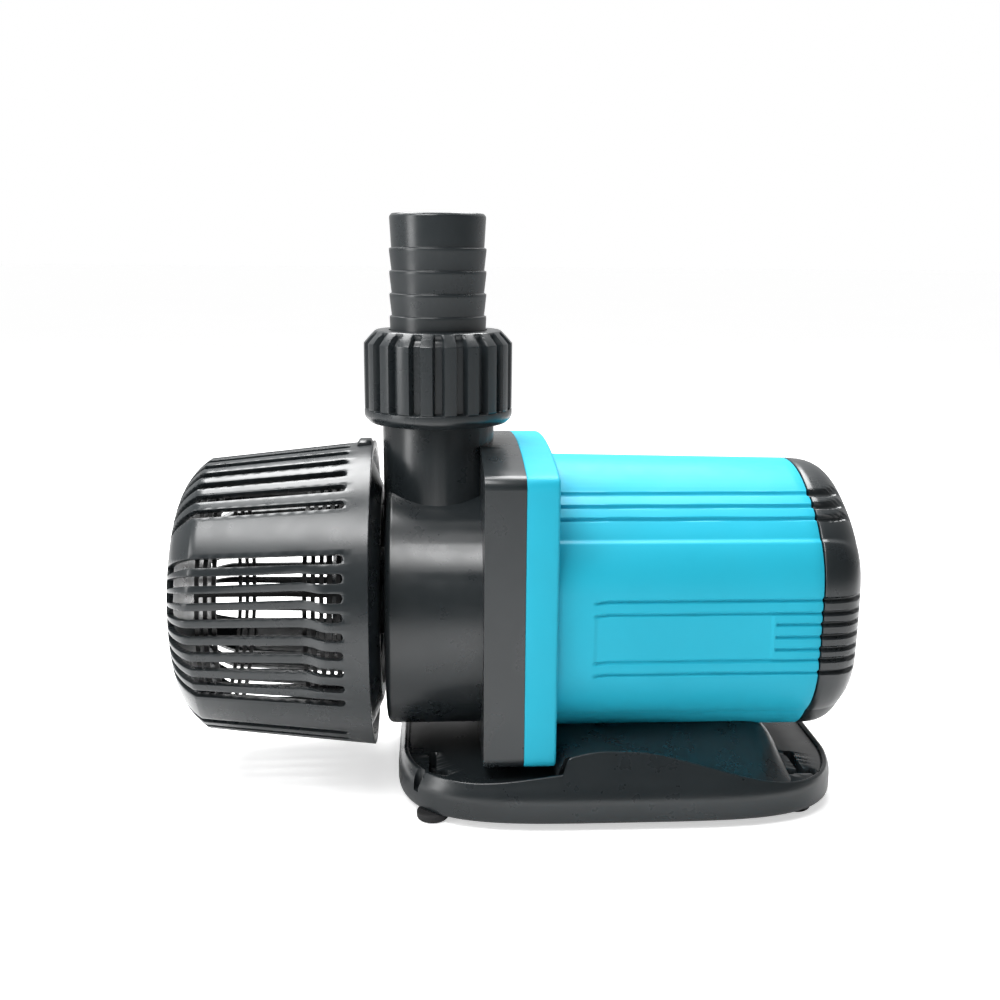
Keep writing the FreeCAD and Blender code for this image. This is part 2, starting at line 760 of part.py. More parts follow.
def stator_core():
    yoke = tube_x(stator_r, yoke_in, stator_x, stator_x + stator_length)
    bore = can_r + can_wall
    tooth = box(stator_x, stator_x + stator_length, -tooth_width / 2, tooth_width / 2,
                axis_z + bore - 1, axis_z + yoke_in + 1)
    teeth = []
    for i in range(stator_teeth):
        turn = 360.0 * i / stator_teeth
        teeth.append(turned_x(tooth, turn))
        teeth.append(wedge_x(bore + 2.6, bore, stator_x, stator_x + stator_length, turn, 48))
    return join([yoke] + teeth).cut(rod_x(bore, stator_x - 1, stator_x + stator_length + 1))


def around_tooth(x_over, width, hole, r0, r1):
    """Closed frame round a tooth, from r0 to r1, that stands x_over past the core."""
    x0 = stator_x - x_over
    x1 = stator_x + stator_length + x_over
    block = box(x0, x1, -width / 2, width / 2, axis_z + r0, axis_z + r1)
    inside = (width - hole) / 2
    return block.cut(box(x0 + inside, x1 - inside, -hole / 2, hole / 2, axis_z, axis_z + r1 + 5))


def winding_set(make):
    return Part.Compound([turned_x(make, 360.0 * i / stator_teeth) for i in range(stator_teeth)])


def coils():
    hole = tooth_width + 2 * bobbin_t
    return winding_set(around_tooth((coil_width - tooth_width) / 2, coil_width, hole,
                                    coil_in, coil_out))


def bobbins():
    return winding_set(around_tooth(bobbin_t, tooth_width + 2 * bobbin_t, tooth_width,
                                    coil_in, coil_out))


def driver_board():
    x0 = x_body + board_front
    board = box(x0, x0 + board_length, -board_width / 2, board_width / 2, board_z,
                board_z + board_t)
    return board


def board_components():
    """Capacitors, a choke and a connector under the board, behind the stator."""
    x0 = stator_x + stator_length + 14.0
    cans = [rod_z(5.0, board_z - 14.0, board_z, x0 + 12.0 * i, -20.0) for i in range(2)]
    choke = tube_z(8.0, 3.5, board_z - 7.0, board_z, x0 + 4.0, 12.0)
    plug = box(x0 + 17.0, x0 + 27.0, 4.0, 22.0, board_z - 9.0, board_z)
    return Part.Compound(cans + [choke, plug])


# ---------------------------------------------------------------- base and feet

base_seat_t = 4.5          # floor under each screw seat
post_wall = 2.6
slot_r = 2.0
slot_long = 16.0
slot_side = 5.2
side_band = 13.0           # height of the upright band of the side wall
crown_in = 14.0            # how far the wall leans in by the crown


def base_outline(z, inset):
    """Barrel-shaped plan: straight ends with rounded corners and bowed sides."""
    x0 = -base_front + inset
    x1 = base_back - inset
    half = base_width / 2 - inset
    end = base_end_width / 2 - inset
    corner = 17.0
    bow = half - (base_width - 20.0) / 2 + inset
    side = half - bow
    return outline([(V(x0, -end, z), corner * 0.2, UP * -1), (V(x0 + corner, -side, z), bow, UP * -1),
                    (V(x1 - corner, -side, z), corner * 0.2, UP * -1), (V(x1, -end, z), 0, UP),
                    (V(x1, end, z), corner * 0.2, UP * -1), (V(x1 - corner, side, z), bow, UP * -1),
                    (V(x0 + corner, side, z), corner * 0.2, UP * -1), (V(x0, end, z), 0, UP)])


def base_mass(inset, drop):
    """Outer form of the base, or its inside when inset: an upright band, then a wall that
    leans in, under a top that is highest at mid-length."""
    low = base_floor - (1.0 if inset else 0.0)
    high = base_crown + 2.0
    stack = Part.makeLoft([base_outline(low, inset), base_outline(side_band, inset),
                           base_outline(high, inset + crown_in)], True, True)
    reach = base_width
    x0 = -base_front + 8.0
    x1 = base_back - 20.0
    rise = base_crown - (base_rim + base_rear_rim) / 2
    top = outline([(V(-base_front - 1, -reach, low - 1), 0, UP),
                   (V(base_back + 1, -reach, low - 1), 0, UP),
                   (V(base_back + 1, -reach, base_rear_rim - drop), 0, UP),
                   (V(x1, -reach, base_rear_rim - drop), rise, V(0, 1, 0)),
                   (V(x0, -reach, base_rim - drop), 0, UP),
                   (V(-base_front - 1, -reach, base_rim - drop), 0, UP)])
    return stack.common(Part.Face(top).extrude(V(0, 2 * reach, 0)))


def foot_places():
    return [(x, sy * foot_y) for x in (foot_front, foot_back) for sy in (-1, 1)]


def fixing_slot(x, y):
    """Slot with three round ends over a foot: two short arms and one long one inwards."""
    inward = -1 if y > 0 else 1
    z0 = base_floor + 2.0
    z1 = base_crown + 5.0
    ends = [(x - slot_side, y), (x + slot_side, y), (x, y + inward * slot_long)]
    tools = [box(x - slot_side, x + slot_side, y - slot_r * 0.8, y + slot_r * 0.8,
                 base_rim - 8.0, z1),
             box(x - slot_r * 0.8, x + slot_r * 0.8, min(y, y + inward * slot_long),
                 max(y, y + inward * slot_long), base_rim - 8.0, z1)]
    tools += [rod_z(slot_r + 0.5, base_rim - 8.0, z1, ex, ey) for ex, ey in ends]
    tools.append(rod_z(foot_bore + 0.4, z0, z1, x, y))
    return tools


def base_plate():
    solid = base_mass(0.0, 0.0)
    hollow = base_mass(base_wall, base_wall)
    pads = [rod_z(foot_r + post_wall, base_floor, base_crown, x, y) for x, y in foot_places()]
    pads += [rod_z(boss_r + 1.0, base_floor, base_crown, x, y) for x, y, seat in base_points()]
    seat = -gap - base_wall
    pads += [housing_shell(seat), flange_plate(x_flange + seat, x_body - seat, seat),
             rod_x(drum_r - seat, x_drum + seat, x_flange, z=drum_z)]
    shell = join([solid.cut(hollow)] + [pad.common(solid) for pad in pads])
    tools = [housing_shell(-gap), flange_plate(x_flange - gap, x_body + gap, -gap),
             rod_x(drum_r + gap, x_drum - gap, x_flange, z=drum_z)]
    for x, y in foot_places():
        tools.append(rod_z(foot_r, base_floor - 1, base_floor + 6.0, x, y))
        tools += fixing_slot(x, y)
    for x, y, seat in base_points():
        tools.append(rod_z(screw_r + gap, 0, base_crown, x, y))
        tools.append(rod_z(screw_head_r + gap, 0, seat - gap - base_seat_t, x, y))
    return shell.cut(tools)


def rubber_feet():
    feet = []
    for x, y in foot_places():
        foot = Part.makeCone(foot_r, foot_r + foot_edge, foot_edge, V(x, y, 0))
        foot = foot.fuse(rod_z(foot_r + foot_edge, foot_edge, base_floor, x, y))
        stem = rod_z(foot_r, base_floor - 0.5, base_floor + 6.0, x, y)
        feet.append(join([foot, stem]).cut(rod_z(foot_bore, -1, base_floor + 8, x, y)))
    return Part.Compound(feet)


# ---------------------------------------------------------------- screws

def screw(x, y, z, length, heading):
    """Cap screw whose head ends at the point given and whose shank follows `heading`."""
    shank = Part.makeCylinder(screw_r, length, V(x, y, z), heading)
    head = Part.makeCylinder(screw_head_r, screw_head, V(x, y, z) - heading * screw_head, heading)
    socket_r = 1.7
    socket = Part.makeCylinder(socket_r, 2.2, V(x, y, z) - heading * (screw_head + 0.01), heading)
    return head.fuse(shank).removeSplitter().cut(socket)


def flange_screws():
    x_seat = x_body - screw_head
    return Part.Compound([screw(x_seat, y, z, screw_length, ALONG * -1)
                          for y, z in corner_points()])


def cap_screws():
    x_seat = x_rear - screw_head - 1.5
    screws = []
    for y, z in cap_points():
        one = screw(x_seat, y, z, x_seat - x_seam, ALONG * -1)
        tip = rod_x(screw_r - 0.5, x_seam - cap_screw_length + 1, x_seam + 0.5, y, z)
        screws.append(join([one, tip]))
    return Part.Compound(screws)


def base_screws():
    return Part.Compound([screw(x, y, seat - gap - base_seat_t, base_screw_length - 1, UP)
                          for x, y, seat in base_points()])


NODES = {
    "strainer_cage": strainer_cage,
    "strainer_back_plate": strainer_plate,
    "inner_screen": inner_screen,
    "volute_housing": volute_housing,
    "union_nut": union_nut,
    "hose_tail": hose_tail,
    "outlet_seal": outlet_seal,
    "motor_housing": motor_housing,
    "rear_cap": rear_cap,
    "cap_gasket": cap_gasket,
    "cable_gland": cable_gland,
    "gland_nut": gland_nut,
    "rotor_can": rotor_can,
    "chamber_seal": chamber_seal,
    "impeller": impeller,
    "rotor_magnet": lambda: tube_x(magnet_r, hub_r, magnet_front, magnet_front + magnet_length),
    "magnet_sleeve": lambda: tube_x(magnet_r + 0.5, magnet_r, magnet_front,
                                    magnet_front + magnet_length),
    "front_bush": lambda: bush(hub_front),
    "rear_bush": lambda: bush(hub_back - bush_length),
    "ceramic_shaft": ceramic_shaft,
    "front_shaft_seat": lambda: shaft_seat(seat_front_x, seat_front_x + spider_length, False),
    "rear_shaft_seat": lambda: shaft_seat(can_back - 3.0 - seat_length, can_back - 3.0, True),
    "front_thrust_washer": lambda: thrust_washer(seat_front_x + spider_length, hub_front - 0.3),
    "rear_thrust_washer": lambda: thrust_washer(hub_back + 0.3, can_back - 3.0 - seat_length),
    "stator_core": stator_core,
    "stator_coils": coils,
    "coil_bobbins": bobbins,
    "driver_board": driver_board,
    "board_components": board_components,
    "base_plate": base_plate,
    "rubber_feet": rubber_feet,
    "flange_screws": flange_screws,
    "cap_screws": cap_screws,
    "base_screws": base_screws,
}

os.makedirs("parts", exist_ok=True)
for name, make in NODES.items():
    piece = make()
    piece.translate(V(-x_centre, 0, 0))
    if not piece.isValid():
        print(name, "is not valid")
    solids = piece.Solids
    print("%-22s solids %2d  volume %9.0f" % (name, len(solids), piece.Volume))
    body = solids[0] if len(solids) == 1 else Part.Compound(solids)
    body.exportStep("parts/" + name + ".step")
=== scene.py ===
import json
import math

import bmesh
import bpy
from mathutils import Matrix, Vector

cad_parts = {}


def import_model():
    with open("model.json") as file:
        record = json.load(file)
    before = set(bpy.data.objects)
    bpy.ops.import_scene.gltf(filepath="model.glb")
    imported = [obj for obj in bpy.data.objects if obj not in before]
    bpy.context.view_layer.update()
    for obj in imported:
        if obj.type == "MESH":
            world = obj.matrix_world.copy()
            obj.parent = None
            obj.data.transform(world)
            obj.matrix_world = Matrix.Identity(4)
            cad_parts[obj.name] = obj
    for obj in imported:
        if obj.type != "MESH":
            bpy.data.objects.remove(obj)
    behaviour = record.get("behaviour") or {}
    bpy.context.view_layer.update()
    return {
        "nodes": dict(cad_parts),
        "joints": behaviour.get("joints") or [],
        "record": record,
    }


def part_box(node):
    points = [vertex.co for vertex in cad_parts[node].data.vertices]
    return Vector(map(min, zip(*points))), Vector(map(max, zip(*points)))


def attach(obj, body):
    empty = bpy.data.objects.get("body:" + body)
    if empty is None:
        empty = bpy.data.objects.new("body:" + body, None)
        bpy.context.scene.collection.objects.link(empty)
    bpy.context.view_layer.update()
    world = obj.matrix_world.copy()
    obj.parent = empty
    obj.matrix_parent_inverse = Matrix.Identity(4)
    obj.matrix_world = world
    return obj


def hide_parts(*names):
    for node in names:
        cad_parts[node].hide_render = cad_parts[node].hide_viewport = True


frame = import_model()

# The pump is drawn in millimetres, in the frame's own axes, and scaled to metres at the end
# of each piece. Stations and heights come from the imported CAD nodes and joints.
MM = 0.001
JOINT = {joint["name"]: joint for joint in frame["joints"]}


def low(node):
    return Vector(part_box(node)[0]) / MM


def high(node):
    return Vector(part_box(node)[1]) / MM


AXIS_Z = JOINT["rotor_spin"]["pos_m"][2] / MM        # pump axis
OUTLET_X = JOINT["union_nut_turn"]["pos_m"][0] / MM  # outlet's axis
X_FACE = low("strainer_cage").x
X_RIM = high("strainer_cage").x
X_JOINT = low("motor_housing").x                     # seam between the two flanges
X_SEAM = low("rear_cap").x                           # seam between housing and cap
X_REAR = high("rear_cap").x
NUT_LOW = low("union_nut").z
NUT_TOP = high("union_nut").z
TAIL_TOP = high("hose_tail").z
FLANGE_FRONT = 15.9                                  # volute flange
FLANGE_REAR = 12.9                                   # motor flange
X_FLANGE = X_JOINT - FLANGE_FRONT
X_BODY = X_JOINT + FLANGE_REAR


# ------------------------------------------------------------------ mesh helpers

def smoothstep(a, b, x):
    t = min(max((x - a) / (b - a), 0.0), 1.0)
    return t * t * (3 - 2 * t)


def arc(p, q, rise, count):
    """Points from p to q, without q, on an arc that stands `rise` to the left of the chord."""
    if abs(rise) < 1e-9:
        return [tuple(p[k] + (q[k] - p[k]) * i / count for k in (0, 1)) for i in range(count)]
    dx, dy = q[0] - p[0], q[1] - p[1]
    chord = math.hypot(dx, dy)
    radius = (chord * chord / 4 + rise * rise) / (2 * rise)
    side = (-dy / chord, dx / chord)
    centre = ((p[0] + q[0]) / 2 + side[0] * (rise - radius),
              (p[1] + q[1]) / 2 + side[1] * (rise - radius))
    a0 = math.atan2(p[1] - centre[1], p[0] - centre[0])
    a1 = math.atan2(q[1] - centre[1], q[0] - centre[0])
    if rise > 0 and a1 > a0:
        a1 -= 2 * math.pi
    if rise < 0 and a1 < a0:
        a1 += 2 * math.pi
    r = abs(radius)
    return [(centre[0] + r * math.cos(a0 + (a1 - a0) * i / count),
             centre[1] + r * math.sin(a0 + (a1 - a0) * i / count)) for i in range(count)]


def make_object(name, verts, faces, material, smooth=40.0):
    """Mesh object from millimetre points, smooth apart from edges sharper than `smooth` degrees."""
    mesh = bpy.data.meshes.new(name)
    mesh.from_pydata([tuple(c * MM for c in v) for v in verts], [], faces)
    bm = bmesh.new()
    bm.from_mesh(mesh)
    bmesh.ops.remove_doubles(bm, verts=bm.verts, dist=1e-6)
    bmesh.ops.recalc_face_normals(bm, faces=bm.faces)
    bm.to_mesh(mesh)
    bm.free()
    mesh.materials.append(material)
    piece = bpy.data.objects.new(name, mesh)
    bpy.context.scene.collection.objects.link(piece)
    shade(piece, smooth)
    return piece


def shade(piece, degrees):
    mesh = piece.data
    mesh.polygons.foreach_set("use_smooth", [True] * len(mesh.polygons))
    mesh.set_sharp_from_angle(angle=math.radians(degrees))


def grid(name, rings, material, closed=True, caps=(False, False), smooth=40.0, loop=False):
    """Skin over rings of equal length. Caps close the first and last ring; loop joins them."""
    n = len(rings[0])
    verts = [p for ring in rings for p in ring]
    faces = []
    last = len(rings) if loop else len(rings) - 1
    for i in range(last):
        a, b = i * n, ((i + 1) % len(rings)) * n
        for j in range(n if closed else n - 1):
            k = (j + 1) % n
            faces.append((a + j, a + k, b + k, b + j))
    if caps[0]:
        faces.append(tuple(range(n - 1, -1, -1)))
    if caps[1]:
        faces.append(tuple((len(rings) - 1) * n + j for j in range(n)))
    return make_object(name, verts, faces, material, smooth)


def round_profile(points, radius, steps=4):
    """Profile with each marked corner rounded: points are (u, v) or (u, v, own radius)."""
    out = []
    n = len(points)
    for i in range(n):
        u, v = points[i][0], points[i][1]
        r = points[i][2] if len(points[i]) > 2 else radius
        if i in (0, n - 1) or r == 0:
            out.append((u, v))
            continue
        a = Vector((points[i - 1][0] - u, points[i - 1][1] - v))
        b = Vector((points[i + 1][0] - u, points[i + 1][1] - v))
        reach = min(r, a.length * 0.45, b.length * 0.45)
        p = Vector((u, v)) + a.normalized() * reach
        q = Vector((u, v)) + b.normalized() * reach
        for k in range(steps + 1):
            t = k / steps
            m = p * (1 - t) ** 2 + Vector((u, v)) * 2 * t * (1 - t) + q * t * t
            out.append((m.x, m.y))
    return out


def lathe_z(name, profile, material, turns=128, smooth=50.0, bend=None, loop=False):
    """Turned about the outlet's axis from (r, z) points; bend may change r by angle and z."""
    rings = []
    for r, z in profile:
        ring = []
        for j in range(turns):
            a = 2 * math.pi * j / turns
            rr = bend(a, r, z) if bend else r
            ring.append((OUTLET_X + rr * math.cos(a), rr * math.sin(a), z))
        rings.append(ring)
    return grid(name, rings, material, smooth=smooth, loop=loop)


def bevel(piece, width, segments=3, degrees=35.0):
    mod = piece.modifiers.new("edges", "BEVEL")
    mod.width = width * MM
    mod.segments = segments
    mod.limit_method = "ANGLE"
    mod.angle_limit = math.radians(degrees)
    mod.harden_normals = True
    return mod


def apply_modifiers(piece):
    deps = bpy.context.evaluated_depsgraph_get()
    made = bpy.data.meshes.new_from_object(piece.evaluated_get(deps))
    old = piece.data
    piece.modifiers.clear()
    piece.data = made
    bpy.data.meshes.remove(old)


# ------------------------------------------------------------------ materials

class Nodes:
    """Short hand for building one material's nodes."""

    def __init__(self, name):
        self.mat = bpy.data.materials.new(name)
        self.mat.use_nodes = True
        self.tree = self.mat.node_tree
        self.shader = self.tree.nodes["Principled BSDF"]
        coords = self.add("ShaderNodeTexCoord")
        self.where = coords.outputs["Object"]

    def add(self, kind, **values):
        node = self.tree.nodes.new(kind)
        for key, value in values.items():
            setattr(node, key, value)
        return node

    def link(self, a, b):
        self.tree.links.new(a, b)

    def noise(self, scale, detail=2.0, roughness=0.5, stretch=None):
        where = self.where
        if stretch:
            mapping = self.add("ShaderNodeMapping")
            mapping.inputs["Scale"].default_value = stretch
            self.link(where, mapping.inputs["Vector"])
            where = mapping.outputs["Vector"]
        node = self.add("ShaderNodeTexNoise")
        node.inputs["Scale"].default_value = scale
        node.inputs["Detail"].default_value = detail
        node.inputs["Roughness"].default_value = roughness
        self.link(where, node.inputs["Vector"])
        return node.outputs["Fac"]

    def span(self, value, low, high, start=0.0, end=1.0):
        node = self.add("ShaderNodeMapRange")
        node.inputs["From Min"].default_value = start
        node.inputs["From Max"].default_value = end
        node.inputs["To Min"].default_value = low
        node.inputs["To Max"].default_value = high
        self.link(value, node.inputs["Value"])
        return node.outputs["Result"]

    def tint(self, value, dark, light):
        ramp = self.add("ShaderNodeValToRGB")
        ramp.color_ramp.elements[0].position = 0.3
        ramp.color_ramp.elements[0].color = (*dark, 1)
        ramp.color_ramp.elements[1].position = 0.7
        ramp.color_ramp.elements[1].color = (*light, 1)
        self.link(value, ramp.inputs["Fac"])
        return ramp.outputs["Color"]

    def bump(self, value, strength, distance):
        node = self.add("ShaderNodeBump")
        node.inputs["Strength"].default_value = strength
        node.inputs["Distance"].default_value = distance
        self.link(value, node.inputs["Height"])
        self.link(node.outputs["Normal"], self.shader.inputs["Normal"])


def moulded(name, colour, rough, grain=0.06, spread=0.08, coat=0.0, gloss=0.5):
    """Moulded plastic: slight colour drift, fine mould grain and uneven gloss."""
    n = Nodes(name)
    dark = [c * (1 - spread) for c in colour]
    light = [min(c * (1 + spread), 1.0) for c in colour]
    n.link(n.tint(n.noise(18, 3.0), dark, light), n.shader.inputs["Base Color"])
    n.link(n.span(n.noise(60, 4.0, 0.6), rough - 0.05, rough + 0.07, 0.3, 0.7),
           n.shader.inputs["Roughness"])
    n.bump(n.noise(2600, 2.0, 0.6), grain, 0.0001)
    n.shader.inputs["Specular IOR Level"].default_value = gloss
    n.shader.inputs["Coat Weight"].default_value = coat
    n.shader.inputs["Coat Roughness"].default_value = 0.25
    return n.mat


def rubber(name, colour):
    n = Nodes(name)
    n.link(n.tint(n.noise(40, 3.0), [c * 0.7 for c in colour], [c * 1.4 for c in colour]),
           n.shader.inputs["Base Color"])
    n.link(n.span(n.noise(400, 3.0), 0.62, 0.8, 0.3, 0.7), n.shader.inputs["Roughness"])
    n.bump(n.noise(1500, 3.0), 0.15, 0.0002)
    return n.mat


def metal(name, colour, rough, stretch):
    n = Nodes(name)
    n.link(n.tint(n.noise(300, 3.0, 0.6, stretch), [c * 0.85 for c in colour], colour),
           n.shader.inputs["Base Color"])
    n.link(n.span(n.noise(500, 3.0, 0.6, stretch), rough - 0.08, rough + 0.1, 0.3, 0.7),
           n.shader.inputs["Roughness"])
    n.shader.inputs["Metallic"].default_value = 1.0
    n.bump(n.noise(900, 2.0, 0.5, stretch), 0.08, 0.0001)
    return n.mat


def copper_wire(name):
    n = Nodes(name)
    wave = n.add("ShaderNodeTexWave", bands_direction="Z")
    wave.inputs["Scale"].default_value = 900.0
    wave.inputs["Distortion"].default_value = 1.0
    n.link(n.where, wave.inputs["Vector"])
    n.link(n.tint(wave.outputs["Fac"], (0.35, 0.12, 0.04), (0.85, 0.40, 0.18)),
           n.shader.inputs["Base Color"])
    n.shader.inputs["Metallic"].default_value = 0.8
    n.link(n.span(n.noise(200), 0.25, 0.4), n.shader.inputs["Roughness"])
    n.bump(wave.outputs["Fac"], 0.5, 0.0003)
    return n.mat


CHARCOAL = moulded("charcoal_plastic", (0.0135, 0.0172, 0.0192), 0.29, 0.05, 0.10, 0.1)
CHARCOAL_DARK = moulded("charcoal_dark", (0.010, 0.0105, 0.011), 0.42, 0.05, 0.10)
BLUE = moulded("blue_plastic", (0.018, 0.38, 0.525), 0.44, 0.03, 0.03, gloss=0.15)
RUBBER = rubber("black_rubber", (0.014, 0.014, 0.015))
SLOT_MATERIAL = {
    "charcoal": CHARCOAL,
    "charcoal_screen": CHARCOAL_DARK,
    "blue_housing": BLUE,
    "rubber": RUBBER,
    "gland_plastic": moulded("gland_nylon", (0.022, 0.022, 0.024), 0.5),
    "can_plastic": moulded("can_plastic", (0.035, 0.036, 0.04), 0.3),
    "impeller_plastic": moulded("impeller_plastic", (0.62, 0.63, 0.62), 0.35),
    "magnet": moulded("ferrite", (0.05, 0.05, 0.055), 0.45),
    "steel": metal("stainless_steel", (0.62, 0.62, 0.63), 0.28, (1, 1, 12)),
    "bush": moulded("carbon_bush", (0.03, 0.03, 0.033), 0.4),
    "ceramic": moulded("white_ceramic", (0.82, 0.81, 0.77), 0.15, 0.01, 0.02, 0.6),
    "lamination": metal("steel_laminations", (0.4, 0.4, 0.42), 0.4, (30, 1, 1)),
    "copper": copper_wire("enamelled_copper"),
    "bobbin": moulded("bobbin_nylon", (0.75, 0.73, 0.66), 0.5),
    "board": moulded("circuit_board", (0.02, 0.16, 0.06), 0.35, 0.05, 0.3),
    "component": moulded("component_cases", (0.03, 0.03, 0.035), 0.3),
}
for entry in frame["record"]["subparts"]:
    node = frame["nodes"][entry["node"]]
    node.data.materials.clear()
    node.data.materials.append(SLOT_MATERIAL[entry["material_slot"]])


# ------------------------------------------------------------------ strainer cage

CAGE_RIM_R = 65.2
CAGE_CORNER_R = 57.7       # where the cone meets the rounded nose
CAGE_CORNER_X = 12.7
CAGE_FACE_R = 34.2
CAGE_NOSE = 3.3
CAGE_WALL = 2.6
CAGE_LAND = 3.3            # wall at the rim, where the back plate seats
SLOT_W = 3.8
SLOT_START = 9.6
SLOT_REACH = 40.0
TOP_SLOTS, TOP_PITCH = 12, 7.65
SIDE_SLOTS, SIDE_PITCH = 9, 6.8
PANEL_Y = 56.0             # flattened side fields
CHORDS = (-1.0, -0.94, -0.72, 0.0, 0.72, 0.94, 1.0)


def slot_angles():
    """Slot centres in degrees from the top, growing towards -Y."""
    angles = []
    for i in range(TOP_SLOTS):
        lean = (i - (TOP_SLOTS - 1) / 2) * TOP_PITCH
        angles += [lean % 360, (lean + 180) % 360]
    for i in range(SIDE_SLOTS):
        lift = (i - (SIDE_SLOTS - 1) / 2) * SIDE_PITCH
        angles += [(90 - lift) % 360, (lift - 90) % 360]
    return sorted(angles)


def cage_stations():
    """Profile from the rim to the nose as (x, r, nx, nr): a point and its outward normal."""
    x_end = X_RIM - SLOT_START - SLOT_W / 2
    x_nose = X_FACE + CAGE_CORNER_X
    slope = (CAGE_RIM_R - CAGE_CORNER_R) / (X_RIM - x_nose)
    xs = [X_RIM, X_RIM - 0.6, X_RIM - 3.0, X_RIM - 6.0, x_end + SLOT_W / 2 + 0.8, x_end]
    xs += [x_end + (x_nose - x_end) * i / 22 for i in range(1, 22)]
    points = [(x, CAGE_RIM_R - slope * (X_RIM - x)) for x in xs]
    points += arc((x_nose, CAGE_CORNER_R), (X_FACE, CAGE_FACE_R), -CAGE_NOSE, 24)
    points.append((X_FACE, CAGE_FACE_R))
    out = []
    for i, (x, r) in enumerate(points):
        a = points[max(i - 1, 0)]
        b = points[min(i + 1, len(points) - 1)]
        dx, dr = b[0] - a[0], b[1] - a[1]
        length = math.hypot(dx, dr)
        out.append((x, r, dr / length, -dx / length))
    return out, x_end


def flatten(x, y, depth):
    """Side fields are pressed flat, and swell back to the round rim behind the slots."""
    limit = PANEL_Y - depth + 13.0 * smoothstep(X_RIM - 27.0, X_RIM - 9.0, x)
    soft = 0.8
    over = (limit - abs(y)) / soft
    if over > 30:
        return y
    return math.copysign(limit - soft * math.log1p(math.exp(over)), y)


def strainer_cage():
    """Outer and inner skins on one grid whose columns follow the slots' edges."""
    stations, x_end = cage_stations()
    angles = slot_angles()
    half = SLOT_W / 2
    lines = []
    for i, angle in enumerate(angles):
        lines += [(i, math.radians(angle), s * half) for s in CHORDS]
        gap = (angles[(i + 1) % len(angles)] - angle) % 360
        between = max(1, round(gap / 2.4) - 1)
        lines += [(-1, math.radians(angle), (k + 1) / (between + 1), math.radians(gap))
                  for k in range(between)]

    def turn(line, r):
        """Direction of a column at radius r, as an angle from the top."""
        lean = math.asin(min(half / r, 1.0))
        if line[0] >= 0:
            return line[1] + math.asin(line[2] / r)
        return line[1] + lean + (line[3] - 2 * lean) * line[2]

    def place(line, x, r, depth):
        a = turn(line, max(r, 30.0))
        if line[0] >= 0 and abs(x - x_end) < 0.01 + depth * 0.1:
            x += math.sqrt(max(half * half - line[2] ** 2, 0.0))
        return (x, flatten(x, -r * math.sin(a), depth), AXIS_Z + r * math.cos(a))

    outer, inner = [], []
    for x, r, nx, nr in stations:
        wall = CAGE_LAND if x > X_RIM - 8.0 else CAGE_WALL
        deep_x = x - wall * nx if x < x_end - 30 else x
        outer.append([place(line, x, r, 0.0) for line in lines])
        inner.append([place(line, deep_x, r - wall * nr, wall) for line in lines])
    n = len(lines)
    rows = len(stations)
    verts = [p for row in outer + inner for p in row]
    start = rows * n
    kept, edges = [], {}
    for i in range(rows - 1):
        slotted = stations[i][0] <= x_end + 0.01 and stations[i + 1][1] >= SLOT_REACH
        for j in range(n):
            k = (j + 1) % n
            if slotted and lines[j][0] >= 0 and lines[j][0] == lines[k][0]:
                continue
            face = (i * n + j, i * n + k, (i + 1) * n + k, (i + 1) * n + j)
            kept.append(face)
            for a, b in zip(face, face[1:] + face[:1]):
                key = (min(a, b), max(a, b))
                edges[key] = edges.get(key, 0) + 1
    last = (rows - 1) * n
    faces = list(kept) + [tuple(start + v for v in reversed(face)) for face in kept]
    for (a, b), uses in edges.items():
        if uses == 1 and not (a >= last and b >= last):
            faces.append((a, b, start + b, start + a))
    faces.append(tuple(last + j for j in range(n)))
    faces.append(tuple(start + last + j for j in reversed(range(n))))
    cage = make_object("strainer_cage_shell", verts, faces, CHARCOAL, 60)
    bevel(cage, 0.5, 3, 42)
    apply_modifiers(cage)
    shade(cage, 60)
    return own(cage, "strainer_front", "charcoal", "strainer_cage")


def cage_tab():
    """Small latch tab on top of the rim."""
    rings = []
    for x, rise in ((X_RIM - 7.4, -0.8), (X_RIM - 6.4, 1.0), (X_RIM - 5.6, 1.55),
                    (X_RIM - 1.6, 1.55), (X_RIM - 1.0, 1.0), (X_RIM - 0.8, -0.8)):
        r = CAGE_RIM_R + rise
        ring = []
        for k in range(13):
            a = math.radians(-4.5 + 9.0 * k / 12)
            edge = 0.8 * (abs(k - 6) / 6) ** 6
            ring.append((x, -(r - edge) * math.sin(a), AXIS_Z + (r - edge) * math.cos(a)))
        ring += [(x, ring[-1][1], ring[-1][2] - 1.6), (x, ring[0][1], ring[0][2] - 1.6)]
        rings.append(ring)
    tab = grid("strainer_latch_tab", rings, CHARCOAL, caps=(True, True), smooth=45)
    return own(tab, "strainer_front", "charcoal")


# ------------------------------------------------------------------ flanges and motor housing

FLANGE_W, FLANGE_SIDES, FLANGE_CROWN, FLANGE_Z = 122.0, 116.6, 5.7, 81.6
LABEL_Z = 75.4             # middle of the grooves on the side panel
# Right half of the housing's outline: y, z and how far the run to the next point bulges.
SECTION = ((32.2, 29.0, 0.8), (43.6, 39.0, 2.6), (56.8, 61.0, 0.3), (57.6, 94.0, 1.6),
           (50.6, 112.3, 0.0), (48.7, 113.2, 1.7), (28.8, 128.5, 0.0))
CROWN_RISE = 8.2           # crown above the shoulders, at the rear seam
CROWN_FALL = 2.2           # and how much higher it starts at the flange
UPPER_GROOVES = (127.8, 124.1, 120.1)
LONG_GROOVES = (15.1, 9.8, -9.8, -15.1)
SHORT_GROOVES = (5.2, 0.0, -5.2)


def walk(corners):
    """Closed (y, z) path from (y, z, rise) corners, cut fine enough for smooth arcs."""
    path = []
    for i, (y, z, rise) in enumerate(corners):
        end = corners[(i + 1) % len(corners)]
        path += arc((y, z), (end[0], end[1]), rise, 24 if rise else 6)
    return path


